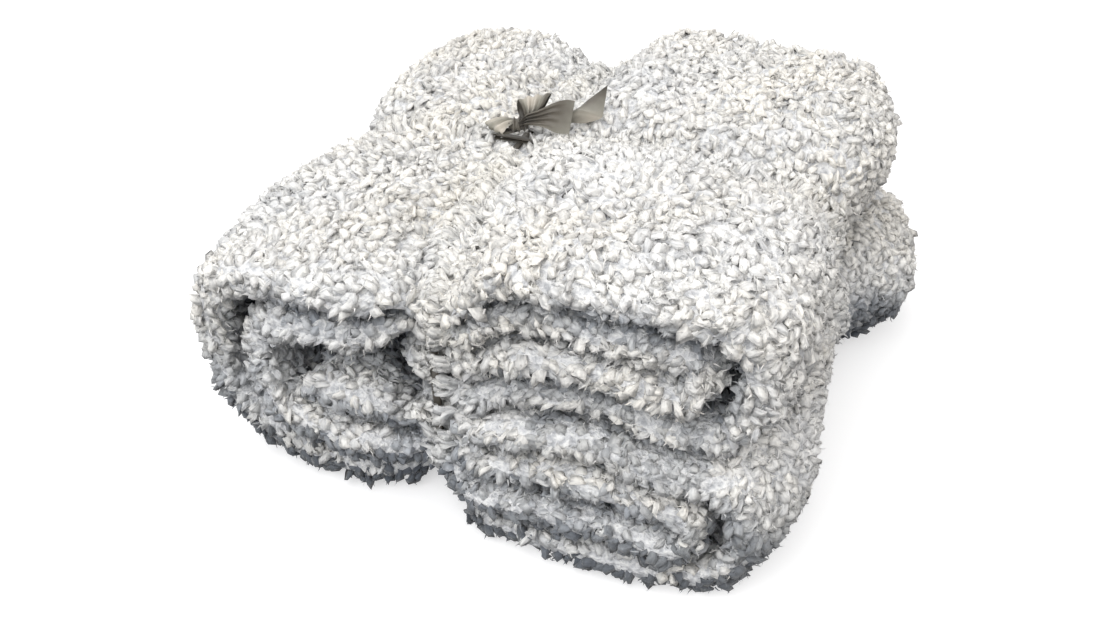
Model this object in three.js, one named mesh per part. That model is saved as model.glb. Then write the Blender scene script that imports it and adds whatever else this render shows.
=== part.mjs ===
// A thick curly sherpa fleece throw, folded small and tied crosswise with satin ribbon and a bow.
// Millimetres, +Z up. The face with the rounded fold edges looks along -Y, the width runs along X.
// The folded cloth is one back-and-forth section of eight double-ply bands, swept from front to back,
// then drawn in along the two ribbon lines into four puffy lobes.
import * as THREE from "three";

// ---------------------------------------------------------------- driving sizes
const WIDTH = 380; // across the front, fold to fold
const DEPTH = 348; // front fold edges to back fold edges
const GAP = 1.4; // between neighbouring bands
const RIGHT_PITCH = 23; // band to band on the right, before the lobes swell
const LEFT_HEIGHT = 153; // stack height on the left, where fewer bands lie
const RIGHT_HEIGHT = 8 * RIGHT_PITCH - GAP;
const BAND = { left: 25.6, middle: 17.7, right: RIGHT_PITCH - GAP }; // thickness of a double-ply band
const OUTER_FOLD_SWELL = 30; // thickness of an outer band where it turns
const COLUMN = { left: -85, middleFrom: -53, middleTo: -29, right: 14 }; // where the table below holds

// Height of each band's middle, top band first, and how far its rounded edge sits
// in from the front (less than 0: it sticks out) and from the back.
const BANDS = {
  a: { left: 140.2, middle: 142.55, right: 171.8, frontLeft: 1, frontRight: 3, back: 0 },
  b: { left: 113.2, middle: 123.45, right: 148.8, frontLeft: 5, frontRight: 7, back: 5 },
  c: { left: 103.0, middle: 104.35, right: 125.8, frontLeft: 9, frontRight: 4, back: 1 },
  d: { left: 88.0, middle: 85.25, right: 102.8, frontLeft: 9, frontRight: 8, back: 4 },
  e: { left: 68.0, middle: 66.15, right: 79.8, frontLeft: 7, frontRight: 0, back: 0 },
  f: { left: 66.8, middle: 47.05, right: 56.8, frontLeft: 8, frontRight: -3, back: 6 },
  g: { left: 39.8, middle: 27.95, right: 33.8, frontLeft: 0, frontRight: -8, back: 2 },
  h: { left: 12.8, middle: 8.85, right: 10.8, frontLeft: 8, frontRight: -4, back: 5 },
};

// The folds that join the bands at the sides: centre, half width of the turn, and how square it is.
const FOLDS = {
  outerRight: { x: 140.5, reach: 34.5, square: 2.2, steps: 8, swell: OUTER_FOLD_SWELL },
  innerRight: { x: 129, reach: 11.5, square: 2.0, steps: 5, swell: 0 },
  outerLeft: { x: -114, reach: 64.0, square: 2.35, steps: 10, swell: OUTER_FOLD_SWELL },
  innerLeft: { x: -113, reach: 32, square: 2.0, steps: 7, swell: 0 },
  link: { x: -46, reach: 9.55, square: 2.0, steps: 4, swell: 0 },
};
const FREE_END = { e: -52, f: -116 }; // the throw's own two ends, inside the stack
const PASS_STEPS = [-85, -66, -49, -31, -20, -8, 10, 75]; // where a band is sampled between its folds

// Stations from front to back, as shares of the half depth.
const STATIONS = [-0.8, -0.58, -0.36, -0.18, -0.03, 0.08, 0.15, 0.252, 0.32, 0.42, 0.6, 0.82];
const NOSE_TURNS = [12, 42, 76]; // degrees round each band's rounded front and back edge

// ---------------------------------------------------------------- the ribbon lines and the lobes
const RIBBON = { width: 12, thick: 1.2, clear: 1.5 };
const GROOVE = { x: -40, y: 35, floorHalf: 8 };
// How far the draw of a ribbon line reaches to each side of it, more by `wider` at the bundle's edge,
// and how steeply the lobe rises beside it (less: steeper).
const DRAW = {
  longLeft: { reach: 54, wider: 0, steep: 0.9 },
  longRight: { reach: 38, wider: 0, steep: 0.66 },
  crossFront: { reach: 98, wider: 80, steep: 1.25 },
  crossBack: { reach: 60, wider: 0, steep: 0.8 },
};
const GROOVE_TOP = 150; // height of the ribbon line over the top
const EDGE_DROP = { front: 9, back: 2, sides: 9 }; // lower where it runs over the edges
const GROOVE_BOTTOM = 12; // the underside is drawn up by this much
const NOTCH = { front: 26, back: 25, left: 17, right: 22 }; // how deep the edges are drawn in
const LONG_LINE = [
  { y: -174, x: -26 }, { y: -140, x: -26 }, { y: -95, x: -42 },
  { y: 25, x: -47 }, { y: 110, x: -42 }, { y: 174, x: -30 },
];
const CROSS_LINE = [{ x: -190, y: 33 }, { x: -50, y: 23 }, { x: 60, y: 36 }, { x: 190, y: 46 }];
const LOBE_RISE = { frontLeft: 8, frontRight: 21, backLeft: 8, backRight: -5 };
// how far the upper and the lower pair of right folds stand out, from front to back
const SPREAD = [
  { y: -174, upper: -15, lower: -9 }, { y: -60, upper: -12, lower: -4 },
  { y: 35, upper: -9, lower: 4 }, { y: 105, upper: -8, lower: 22 }, { y: 174, upper: -5, lower: 22 },
];
const CORNER_ROUND = { left: 13, right: 19 }; // how far the plan's corners are drawn in
const WAVES = [
  { alongX: 0.031, alongY: 0.006, phase: 0.4, rise: 2.6 },
  { alongX: 0.052, alongY: -0.013, phase: 2.1, rise: 1.6 },
];

// ---------------------------------------------------------------- small helpers
const clamp = (t, a = 0, b = 1) => Math.min(b, Math.max(a, t));
const ease = (t) => { const u = clamp(t); return u * u * (3 - 2 * u); };
const mix = (a, b, t) => a + (b - a) * t;
function fromTable(rows, key, value, at) {
  if (at <= rows[0][key]) return rows[0][value];
  for (let i = 1; i < rows.length; i++)
    if (at <= rows[i][key]) {
      const p = rows[i - 1], q = rows[i];
      return mix(p[value], q[value], ease((at - p[key]) / (q[key] - p[key])));
    }
  return rows[rows.length - 1][value];
}
// 1 on a ribbon line, 0 beyond its reach
function groove(d, draw, atEdge) {
  const reach = draw.reach + draw.wider * atEdge * atEdge;
  const t = clamp((Math.abs(d) - GROOVE.floorHalf) / (reach - GROOVE.floorHalf));
  return 1 - Math.pow(1 - (1 - t) * (1 - t), draw.steep);
}

// A value of a table with left, middle and right columns, at x.
function across(row, x) {
  if (x <= COLUMN.middleFrom)
    return mix(row.middle, row.left, ease((COLUMN.middleFrom - x) / (COLUMN.middleFrom - COLUMN.left)));
  return mix(row.middle, row.right, ease((x - COLUMN.middleTo) / (COLUMN.right - COLUMN.middleTo)));
}
const edgeAt = (row, x) => mix(row.frontLeft, row.frontRight, ease((x + 70) / 110));

// ---------------------------------------------------------------- the section's path
// Each point: middle of the band, half its thickness, the way across it, and how far its edges sit in.
function passPoint(name, x) {
  const row = BANDS[name];
  return { x, z: across(row, x), half: across(BAND, x) / 2, nx: 0, nz: 1, front: edgeAt(row, x), back: row.back };
}
function pass(name, from, to) {
  const steps = PASS_STEPS.filter((x) => x > Math.min(from, to) + 4 && x < Math.max(from, to) - 4);
  if (from > to) steps.reverse();
  return [from, ...steps, to].map((x) => {
    const p = passPoint(name, x);
    if (from > to) p.nz = -1; // the way across turns with the path
    return p;
  });
}
function freeEnd(name, tip, starts) {
  const full = across(BAND, tip) / 2;
  const rows = [{ turn: 14 }, { turn: 48 }].map(({ turn }) => {
    const a = (turn * Math.PI) / 180;
    const p = passPoint(name, tip + full * (1 - Math.cos(a + 0.2)));
    p.half *= Math.sin(a + 0.2);
    if (!starts) p.nz = -1;
    return p;
  });
  return starts ? rows : rows.reverse();
}
function fold(kind, from, to) {
  const f = FOLDS[kind];
  const side = kind.endsWith("Right") ? 1 : -1;
  const p = passPoint(from, f.x), q = passPoint(to, f.x);
  const mid = (p.z + q.z) / 2, rise = (p.z - q.z) / 2;
  const power = 2 / f.square;
  const points = [];
  for (let i = 1; i < f.steps; i++) {
    const a = (i / f.steps) * Math.PI; // 0 at the first band, half turn at the second
    const s = Math.sin(a), c = Math.cos(a);
    const x = f.x + side * f.reach * Math.pow(s, power);
    const z = mid + rise * Math.sign(c) * Math.pow(Math.abs(c), power);
    // the way across is square to the turn
    let nx = (side * Math.pow(s, 2 - power)) / f.reach, nz = (Math.sign(c) * Math.pow(Math.abs(c), 2 - power)) / rise;
    const n = Math.hypot(nx, nz);
    nx /= n; nz /= n;
    const flip = side * rise > 0 ? 1 : -1; // keeps the same side of the cloth up along the whole path
    const half = mix(mix(p.half, q.half, i / f.steps), Math.max(f.swell / 2, p.half), s * s);
    points.push({
      x, z, half, nx: nx * flip, nz: nz * flip,
      front: mix(p.front, q.front, i / f.steps), back: mix(p.back, q.back, i / f.steps),
    });
  }
  return points;
}
function sectionPath() {
  const R = FOLDS.outerRight.x, r = FOLDS.innerRight.x, L = FOLDS.outerLeft.x, l = FOLDS.innerLeft.x, k = FOLDS.link.x;
  const startOf = FREE_END.e + across(BAND, FREE_END.e) / 2;
  const endOf = FREE_END.f + across(BAND, FREE_END.f) / 2;
  return [
    ...freeEnd("e", FREE_END.e, true), ...pass("e", startOf, R), ...fold("outerRight", "e", "h"),
    ...pass("h", R, L), ...fold("outerLeft", "h", "a"),
    ...pass("a", L, R), ...fold("outerRight", "a", "d"),
    ...pass("d", R, k), ...fold("link", "d", "c"),
    ...pass("c", k, r), ...fold("innerRight", "c", "b"),
    ...pass("b", r, l), ...fold("innerLeft", "b", "g"),
    ...pass("g", l, r), ...fold("innerRight", "g", "f"),
    ...pass("f", r, endOf), ...freeEnd("f", FREE_END.f, false),
  ];
}

// ---------------------------------------------------------------- drawing the bundle in
function drawnIn(x, y, z) {
  const stack = mix(LEFT_HEIGHT, RIGHT_HEIGHT, ease((x - COLUMN.middleTo) / (COLUMN.right - COLUMN.middleTo)));
  const v = clamp(Math.abs(y) / (DEPTH / 2), 0, 1.1), u = clamp(Math.abs(x) / (WIDTH / 2), 0, 1.1);
  const gx = groove(x - GROOVE.x, x < GROOVE.x ? DRAW.longLeft : DRAW.longRight, v);
  const gy = groove(y - GROOVE.y, y < GROOVE.y ? DRAW.crossFront : DRAW.crossBack, x > 0 ? u : 0);
  const g = 1 - (1 - gx) * (1 - gy);
  // lobes
  const right = ease((x - GROOVE.x + 40) / 80), behind = ease((y - GROOVE.y + 40) / 80);
  const crownX = 1 - 0.35 * Math.pow(clamp(Math.abs(x - mix(-115, 75, right)) / 110), 2);
  const crownY = 1 - 0.45 * Math.pow(clamp(Math.abs(y - mix(-80, 110, behind)) / 95), 2);
  const rise = mix(mix(LOBE_RISE.frontLeft, LOBE_RISE.frontRight, right), mix(LOBE_RISE.backLeft, LOBE_RISE.backRight, right), behind) * crownX * crownY;
  const lineTop = GROOVE_TOP - Math.max((y < 0 ? EDGE_DROP.front : EDGE_DROP.back) * Math.pow(gx * v, 4), EDGE_DROP.sides * Math.pow(gy * u, 4));
  const top = mix(stack + rise, lineTop, g), bottom = GROOVE_BOTTOM * g;
  const share = z / stack;
  let Z = bottom + share * (top - bottom);
  for (const w of WAVES) Z += w.rise * Math.sin(w.alongX * x + w.alongY * y + w.phase) * Math.sin(Math.PI * clamp(share)) * (1 - g);
  // notches at the ends of the ribbon lines, and rounded corners
  let X = x - Math.sign(x) * (x < 0 ? NOTCH.left : NOTCH.right) * gy * ease((Math.abs(x) - 56) / 92);
  let Y = y - Math.sign(y) * (y < 0 ? NOTCH.front : NOTCH.back) * gx * ease((Math.abs(y) - 56) / 74);
  const corner = x < 0 ? CORNER_ROUND.left : CORNER_ROUND.right;
  X -= Math.sign(x) * corner * Math.pow(clamp((v - 0.6) / 0.4), 2) * Math.pow(clamp((u - 0.5) / 0.5), 2);
  Y -= Math.sign(y) * corner * Math.pow(v, 3) * Math.pow(clamp((u - 0.45) / 0.55), 2);
  // the right folds stand out unevenly
  const spread = mix(fromTable(SPREAD, "y", "lower", y), fromTable(SPREAD, "y", "upper", y), ease((share - 0.38) / 0.24));
  X += spread * ease((x - 56) / 92);
  // the ribbon lines wander
  Y += (fromTable(CROSS_LINE, "x", "y", X) - GROOVE.y) * clamp(1 - Math.pow((y - GROOVE.y) / 150, 2));
  X += (fromTable(LONG_LINE, "y", "x", Y) - GROOVE.x) * clamp(1 - Math.pow((x - GROOVE.x) / 150, 2));
  return [X, Y, Z];
}

function stationList() {
  const list = STATIONS.map((s) => ({ y: (s * DEPTH) / 2, thin: 1, nose: 0 }));
  for (const side of [-1, 1])
    for (const turn of NOSE_TURNS) {
      const a = (turn * Math.PI) / 180;
      list.push({ y: side, thin: Math.cos(a), nose: Math.sin(a), side });
    }
  const place = (s) => (s.side ? s.side * (DEPTH / 2 - BAND.right / 2 + (BAND.right / 2) * s.nose) : s.y);
  return list.sort((p, q) => place(p) - place(q));
}

function foldedCloth() {
  const path = sectionPath(), stations = stationList();
  const at = [];
  const index = new Map();
  stations.forEach((s, j) =>
    path.forEach((p, i) => {
      for (const side of [1, -1]) {
        const h = p.half * s.thin * side;
        let y = s.side ? s.side * (DEPTH / 2 - p.half + p.half * s.nose) : s.y;
        const v = Math.abs(y) / (DEPTH / 2);
        y -= Math.sign(y) * (y < 0 ? p.front : p.back) * Math.pow(clamp((v - 0.45) / 0.5), 2);
        index.set(j + "/" + i + "/" + side, at.length);
        at.push(drawnIn(p.x + p.nx * h, y, p.z + p.nz * h));
      }
    }),
  );
  const id = (j, i, side) => index.get(j + "/" + i + "/" + side);
  const faces = [];
  const quad = (a, b, c, d) => faces.push([a, b, c], [a, c, d]);
  const S = stations.length, N = path.length;
  for (let j = 0; j + 1 < S; j++) {
    for (let i = 0; i + 1 < N; i++) {
      quad(id(j, i, 1), id(j, i + 1, 1), id(j + 1, i + 1, 1), id(j + 1, i, 1));
      quad(id(j, i, -1), id(j + 1, i, -1), id(j + 1, i + 1, -1), id(j, i + 1, -1));
    }
    quad(id(j, 0, 1), id(j + 1, 0, 1), id(j + 1, 0, -1), id(j, 0, -1));
    quad(id(j, N - 1, 1), id(j, N - 1, -1), id(j + 1, N - 1, -1), id(j + 1, N - 1, 1));
  }
  for (let i = 0; i + 1 < N; i++) {
    quad(id(0, i, 1), id(0, i, -1), id(0, i + 1, -1), id(0, i + 1, 1));
    quad(id(S - 1, i, 1), id(S - 1, i + 1, 1), id(S - 1, i + 1, -1), id(S - 1, i, -1));
  }
  return { at, faces };
}

// ---------------------------------------------------------------- meshes
function geometry({ at, faces }) {
  const g = new THREE.BufferGeometry();
  g.setAttribute("position", new THREE.BufferAttribute(new Float32Array(at.flat()), 3));
  let volume = 0;
  for (const [a, b, c] of faces) {
    const [p, q, r] = [at[a], at[b], at[c]];
    volume += p[0] * (q[1] * r[2] - q[2] * r[1]) - p[1] * (q[0] * r[2] - q[2] * r[0]) + p[2] * (q[0] * r[1] - q[1] * r[0]);
  }
  g.setIndex((volume > 0 ? faces : faces.map(([a, b, c]) => [a, c, b])).flat());
  g.computeVertexNormals();
  return g;
}
const fleece = new THREE.MeshStandardMaterial({ color: 0xd9d9d8, roughness: 0.95 });
const satin = new THREE.MeshStandardMaterial({ color: 0x5d5750, roughness: 0.4 });
const parts = new THREE.Group();
function add(name, shape, material) {
  const mesh = new THREE.Mesh(geometry(shape), material);
  mesh.name = name;
  parts.add(mesh);
  return mesh;
}

const cloth = foldedCloth();
add("throw", cloth, fleece);

// A taut band follows the outermost points of what it goes round.
function tautLoop(points) {
  const p = points.slice().sort((a, b) => a[0] - b[0] || a[1] - b[1]);
  const turn = (o, a, b) => (a[0] - o[0]) * (b[1] - o[1]) - (a[1] - o[1]) * (b[0] - o[0]);
  const half = (list) => {
    const out = [];
    for (const q of list) {
      while (out.length > 1 && turn(out[out.length - 2], out[out.length - 1], q) <= 0) out.pop();
      out.push(q);
    }
    out.pop();
    return out;
  };
  return [...half(p), ...half(p.slice().reverse())];
}
function grown(loop, by) {
  // each corner moved outwards along the mean of its two sides
  return loop.map((p, i) => {
    const a = loop[(i + loop.length - 1) % loop.length], b = loop[(i + 1) % loop.length];
    const n1 = [p[1] - a[1], a[0] - p[0]], n2 = [b[1] - p[1], p[0] - b[0]];
    const l1 = Math.hypot(...n1), l2 = Math.hypot(...n2);
    const m = [n1[0] / l1 + n2[0] / l2, n1[1] / l1 + n2[1] / l2];
    const l = Math.hypot(...m), cos = l / 2;
    return [p[0] + (m[0] / l) * (by / cos), p[1] + (m[1] / l) * (by / cos)];
  });
}
// points no closer than least and no further apart than most
function spaced(loop, least, most) {
  const kept = [];
  for (const p of loop) {
    const q = kept[kept.length - 1];
    if (!q || Math.hypot(p[0] - q[0], p[1] - q[1]) >= least) kept.push(p);
  }
  return kept.flatMap((p, i) => {
    const q = kept[(i + 1) % kept.length];
    const n = Math.ceil(Math.hypot(p[0] - q[0], p[1] - q[1]) / most);
    return Array.from({ length: n }, (_, k) => [mix(p[0], q[0], k / n), mix(p[1], q[1], k / n)]);
  });
}
// A flat band round the loop, which lies in the plane of its first and second numbers.
function band(loop, place) {
  const inner = grown(loop, RIBBON.clear), outer = grown(loop, RIBBON.clear + RIBBON.thick);
  const at = [], faces = [], n = loop.length, w = RIBBON.width / 2;
  for (let i = 0; i < n; i++) for (const [ring, side] of [[inner, -w], [inner, w], [outer, w], [outer, -w]]) at.push(place(ring[i], side));
  const quad = (a, b, c, d) => faces.push([a, b, c], [a, c, d]);
  for (let i = 0; i < n; i++) {
    const p = 4 * i, q = 4 * ((i + 1) % n);
    for (let k = 0; k < 4; k++) quad(p + k, q + k, q + ((k + 1) % 4), p + ((k + 1) % 4));
  }
  return { at, faces };
}

// ---------------------------------------------------------------- ribbon bands
const near = (value, line, reach) => Math.abs(value - line) < reach;
const longPlace = (p, side) => [fromTable(LONG_LINE, "y", "x", p[0]) + side, p[0], p[1]];
const crossPlace = (p, side) => [p[0], fromTable(CROSS_LINE, "x", "y", p[0]) + side, p[1]];
// points along the cloth's own edges, so that the flat faces between its points count too
const skin = cloth.faces.flatMap(([a, b, c]) =>
  [[a, b], [b, c], [c, a]].flatMap(([p, q]) => [0, 0.25, 0.5, 0.75].map((t) => cloth.at[p].map((v, k) => mix(v, cloth.at[q][k], t)))),
);
const REACH = RIBBON.width / 2 + 1.5;
const underLong = skin.filter(([x, y]) => near(x, fromTable(LONG_LINE, "y", "x", y), REACH)).map(([, y, z]) => [y, z]);
const longLoop = spaced(tautLoop(underLong), 3, 30);
add("ribbon_long", band(longLoop, longPlace), satin);
// how low and how high a loop lies within a reach of a line across it
function span(loop, line, reach) {
  const heights = [];
  loop.forEach((p, i) => {
    const q = loop[(i + 1) % loop.length];
    for (let t = 0; t <= 1; t += 0.02) {
      const v = mix(p[0], q[0], t);
      if (near(v, line, reach)) heights.push(mix(p[1], q[1], t));
    }
  });
  return { low: Math.min(...heights), high: Math.max(...heights) };
}
const crossing = fromTable(LONG_LINE, "y", "x", 26);
const longSpan = span(longLoop, fromTable(CROSS_LINE, "x", "y", crossing), REACH);
const through = RIBBON.clear + RIBBON.thick;
const underCross = skin.filter(([x, y]) => near(y, fromTable(CROSS_LINE, "x", "y", x), REACH)).map(([x, , z]) => [x, z]);
for (const side of [-REACH, REACH])
  underCross.push([crossing + side, longSpan.high + through], [crossing + side, longSpan.low - through]);
const crossLoop = spaced(tautLoop(underCross), 3, 30);
add("ribbon_cross", band(crossLoop, crossPlace), satin);

// ---------------------------------------------------------------- bow
// The bow's own frame: r to the viewer's right, f towards the viewer, z up, from where the bands cross.
const BOW_TURN = 21; // degrees that the bow is turned from the front
const KNOT = { long: 13, wide: 11, high: 8, lift: 0.5 };
const BOW = {
  bow_loop_left: [
    { lowR: -7.6, lowF: 3.5, lowZ: 5.6, highR: -7.4, highF: -2.0, highZ: 7.4 },
    { lowR: -13.0, lowF: 6.0, lowZ: 5.4, highR: -12.5, highF: -3.5, highZ: 9.0 },
    { lowR: -19.5, lowF: 4.5, lowZ: 8.0, highR: -20.0, highF: -0.5, highZ: 9.0 },
    { lowR: -21.5, lowF: 3.8, lowZ: 5.6, highR: -21.8, highF: -0.5, highZ: 6.2 },
    { lowR: -17.0, lowF: 6.0, lowZ: 1.6, highR: -17.5, highF: -2.5, highZ: 2.6 },
    { lowR: -8.0, lowF: 4.5, lowZ: 1.4, highR: -8.0, highF: -2.0, highZ: 2.2 },
  ],
  bow_loop_rear: [
    { lowR: 3.6, lowF: -6.4, lowZ: 5.0, highR: 8.6, highF: -6.2, highZ: 5.0 },
    { lowR: 2.2, lowF: -6.8, lowZ: 12.0, highR: 13.8, highF: -6.8, highZ: 14.0 },
    { lowR: -0.8, lowF: -7.4, lowZ: 20.0, highR: 20.8, highF: -8.0, highZ: 23.6 },
    { lowR: -1.8, lowF: -10.4, lowZ: 20.4, highR: 20.0, highF: -11.4, highZ: 23.8 },
    { lowR: -2.0, lowF: -12.4, lowZ: 12.0, highR: 13.0, highF: -13.4, highZ: 14.0 },
    { lowR: -0.8, lowF: -9.0, lowZ: 3.0, highR: 7.0, highF: -9.4, highZ: 3.0 },
  ],
  bow_tail_middle: [
    { lowR: 7.2, lowF: 4.0, lowZ: 5.2, highR: 7.4, highF: 0.4, highZ: 10.6 },
    { lowR: 12.0, lowF: 4.6, lowZ: 4.6, highR: 15.7, highF: -1.0, highZ: 14.1 },
    { lowR: 19.0, lowF: 5.6, lowZ: 2.0, highR: 22.5, highF: -1.6, highZ: 17.0 },
    { lowR: 25.0, lowF: 6.2, lowZ: 0.8, highR: 29.7, highF: -2.0, highZ: 19.3 },
    { lowR: 32.7, lowF: 6.0, lowZ: 1.0, highR: 36.0, highF: -2.0, highZ: 19.4 },
  ],
  bow_tail_right: [
    { lowR: 7.4, lowF: -2.6, lowZ: 1.2, highR: 7.4, highF: -3.4, highZ: 5.8 },
    { lowR: 20.0, lowF: -3.0, lowZ: 1.0, highR: 20.0, highF: -5.0, highZ: 8.0 },
    { lowR: 33.9, lowF: -3.6, lowZ: 1.2, highR: 35.0, highF: -6.6, highZ: 10.2 },
    { lowR: 44.5, lowF: -3.2, lowZ: 2.6, highR: 45.5, highF: -8.4, highZ: 18.0 },
    { lowR: 51.3, lowF: -3.0, lowZ: 5.2, highR: 56.6, highF: -10.0, highZ: 26.2 },
  ],
};
function ribbonSheet(rows) {
  const steps = [0, 0.5, 1];
  const mids = rows.map((r) => steps.map((t) => new THREE.Vector3(mix(r.lowR, r.highR, t), -mix(r.lowF, r.highF, t), mix(r.lowZ, r.highZ, t))));
  const n = rows.length, m = steps.length;
  const normal = (i, k) => {
    const along = mids[Math.min(i + 1, n - 1)][k].clone().sub(mids[Math.max(i - 1, 0)][k]);
    const across = mids[i][Math.min(k + 1, m - 1)].clone().sub(mids[i][Math.max(k - 1, 0)]);
    return along.cross(across).normalize();
  };
  const at = [];
  for (const side of [0.5, -0.5])
    for (let i = 0; i < n; i++)
      for (let k = 0; k < m; k++) at.push(mids[i][k].clone().addScaledVector(normal(i, k), side * RIBBON.thick));
  const id = (face, i, k) => face * n * m + i * m + k;
  const faces = [];
  const quad = (a, b, c, d) => faces.push([a, b, c], [a, c, d]);
  for (let i = 0; i + 1 < n; i++)
    for (let k = 0; k + 1 < m; k++) {
      quad(id(0, i, k), id(0, i + 1, k), id(0, i + 1, k + 1), id(0, i, k + 1));
      quad(id(1, i, k), id(1, i, k + 1), id(1, i + 1, k + 1), id(1, i + 1, k));
    }
  for (let i = 0; i + 1 < n; i++) {
    quad(id(0, i, 0), id(1, i, 0), id(1, i + 1, 0), id(0, i + 1, 0));
    quad(id(0, i, m - 1), id(0, i + 1, m - 1), id(1, i + 1, m - 1), id(1, i, m - 1));
  }
  for (let k = 0; k + 1 < m; k++) {
    quad(id(0, 0, k), id(0, 0, k + 1), id(1, 0, k + 1), id(1, 0, k));
    quad(id(0, n - 1, k), id(1, n - 1, k), id(1, n - 1, k + 1), id(0, n - 1, k + 1));
  }
  return { at, faces };
}
const crossSpan = span(crossLoop, crossing, REACH);
const knotBase = new THREE.Vector3(crossing, fromTable(CROSS_LINE, "x", "y", crossing), crossSpan.high + through + KNOT.lift);
const toBundle = new THREE.Matrix4().makeRotationZ((BOW_TURN * Math.PI) / 180).setPosition(knotBase);
for (const [name, rows] of Object.entries(BOW)) {
  const shape = ribbonSheet(rows);
  shape.at = shape.at.map((p) => p.applyMatrix4(toBundle).toArray());
  add(name, shape, satin);
}
const knot = new THREE.Mesh(new THREE.SphereGeometry(0.5, 10, 7), satin);
knot.name = "ribbon_knot";
knot.geometry.rotateX(Math.PI / 2).scale(KNOT.long, KNOT.wide, KNOT.high).translate(0, 0, KNOT.high / 2).applyMatrix4(toBundle);
parts.add(knot);

parts.updateMatrixWorld(true);
const box = new THREE.Box3().setFromObject(parts);
parts.position.set(-(box.min.x + box.max.x) / 2, -(box.min.y + box.max.y) / 2, -box.min.z);
const root = new THREE.Group();
root.add(parts);
export default root;
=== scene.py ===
# A thick curly sherpa fleece throw, folded small and tied crosswise with a satin ribbon and a bow.
# The tables are in millimetres, in the frame of the folded section; SHIFT brings them to the part's frame.
import math

import bpy
import numpy as np
from mathutils import Matrix, Vector
from mathutils.bvhtree import BVHTree


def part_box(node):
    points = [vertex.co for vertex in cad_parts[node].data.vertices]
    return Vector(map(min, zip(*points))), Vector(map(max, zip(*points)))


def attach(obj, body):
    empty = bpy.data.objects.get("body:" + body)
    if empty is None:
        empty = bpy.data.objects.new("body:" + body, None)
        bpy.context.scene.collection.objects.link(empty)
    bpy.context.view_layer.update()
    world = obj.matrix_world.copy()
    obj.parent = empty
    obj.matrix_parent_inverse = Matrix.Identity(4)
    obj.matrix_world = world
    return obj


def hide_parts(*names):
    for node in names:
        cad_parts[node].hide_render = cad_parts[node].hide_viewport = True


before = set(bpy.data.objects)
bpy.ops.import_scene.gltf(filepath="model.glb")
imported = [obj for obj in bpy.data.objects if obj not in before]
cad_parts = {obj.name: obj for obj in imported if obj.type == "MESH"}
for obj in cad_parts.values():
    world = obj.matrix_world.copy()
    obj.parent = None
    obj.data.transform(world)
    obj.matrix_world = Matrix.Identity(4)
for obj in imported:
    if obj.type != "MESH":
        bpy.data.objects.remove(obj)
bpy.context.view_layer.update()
MM = 0.001
SHIFT = np.array([-9.49628, 3.89268, 0.0])

# ---------------------------------------------------------------- sizes of the folded section
WIDTH, DEPTH, GAP = 380.0, 348.0, 1.4
LEFT_HEIGHT, RIGHT_HEIGHT = 153.0, 182.6
BAND = {"left": 25.6, "middle": 17.7, "right": 21.6}
COLUMN = {"left": -85.0, "middle_from": -53.0, "middle_to": -29.0, "right": 14.0}
SWELL = 30.0
# name: height left, middle, right; how far the edge sits in at the front left, front right and back
BANDS = {
    "a": (140.2, 142.55, 171.8, 1, 3, 0),
    "b": (113.2, 123.45, 148.8, 5, 7, 5),
    "c": (103.0, 104.35, 125.8, 9, 4, 1),
    "d": (88.0, 85.25, 102.8, 9, 8, 4),
    "e": (68.0, 66.15, 79.8, 7, 0, 0),
    "f": (66.8, 47.05, 56.8, 8, -3, 6),
    "g": (39.8, 27.95, 33.8, 0, -8, 2),
    "h": (12.8, 8.85, 10.8, 8, -4, 5),
}
# name: centre, reach, squareness, steps, swell, side
FOLDS = {
    "outer_right": (140.5, 34.5, 2.2, 16, SWELL, 1),
    "inner_right": (129.0, 11.5, 2.0, 9, 0, 1),
    "outer_left": (-114.0, 64.0, 2.35, 22, SWELL, -1),
    "inner_left": (-113.0, 32.0, 2.0, 14, 0, -1),
    "link": (-46.0, 9.55, 2.0, 7, 0, -1),
}
FREE_END = {"e": -52.0, "f": -116.0}
GROOVE = {"x": -40.0, "y": 35.0, "floor_half": 8.0}
# reach, how much wider at the edge, how steep
DRAW = {
    "long_left": (54.0, 0.0, 0.9),
    "long_right": (38.0, 0.0, 0.66),
    "cross_front": (98.0, 80.0, 1.25),
    "cross_back": (60.0, 0.0, 0.8),
}
GROOVE_TOP, GROOVE_BOTTOM = 150.0, 12.0
EDGE_DROP = {"front": 9.0, "back": 2.0, "sides": 9.0}
NOTCH = {"front": 26.0, "back": 25.0, "left": 17.0, "right": 22.0}
LONG_LINE = [(-174, -26), (-140, -26), (-95, -42), (25, -47), (110, -42), (174, -30)]
CROSS_LINE = [(-190, 33), (-50, 23), (60, 36), (190, 46)]
LOBE_RISE = {"front_left": 8.0, "front_right": 21.0, "back_left": 8.0, "back_right": -5.0}
SPREAD_UPPER = [(-174, -15), (-60, -12), (35, -9), (105, -8), (174, -5)]
SPREAD_LOWER = [(-174, -9), (-60, -4), (35, 4), (105, 22), (174, 22)]
CORNER_ROUND = {"left": 13.0, "right": 19.0}
WAVES = [(0.031, 0.006, 0.4, 2.6), (0.052, -0.013, 2.1, 1.6)]

# ---------------------------------------------------------------- sizes of the pile and the ribbon
PILE = 5.8  # height of the curls over the knitted ground
LOCK_ROWS, LOCK_ALONG = 4.75, 5.25  # spacing of the curls
CELLS = 84  # cells a side in the map of the curls


def ease(t):
    u = np.clip(t, 0.0, 1.0)
    return u * u * (3 - 2 * u)


def mix(a, b, t):
    return a + (b - a) * t


def from_table(rows, at):
    at = np.asarray(at, float)
    k, v = np.array([r[0] for r in rows], float), np.array([r[1] for r in rows], float)
    i = np.clip(np.searchsorted(k, at) - 1, 0, len(k) - 2)
    return mix(v[i], v[i + 1], ease((at - k[i]) / (k[i + 1] - k[i])))


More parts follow.
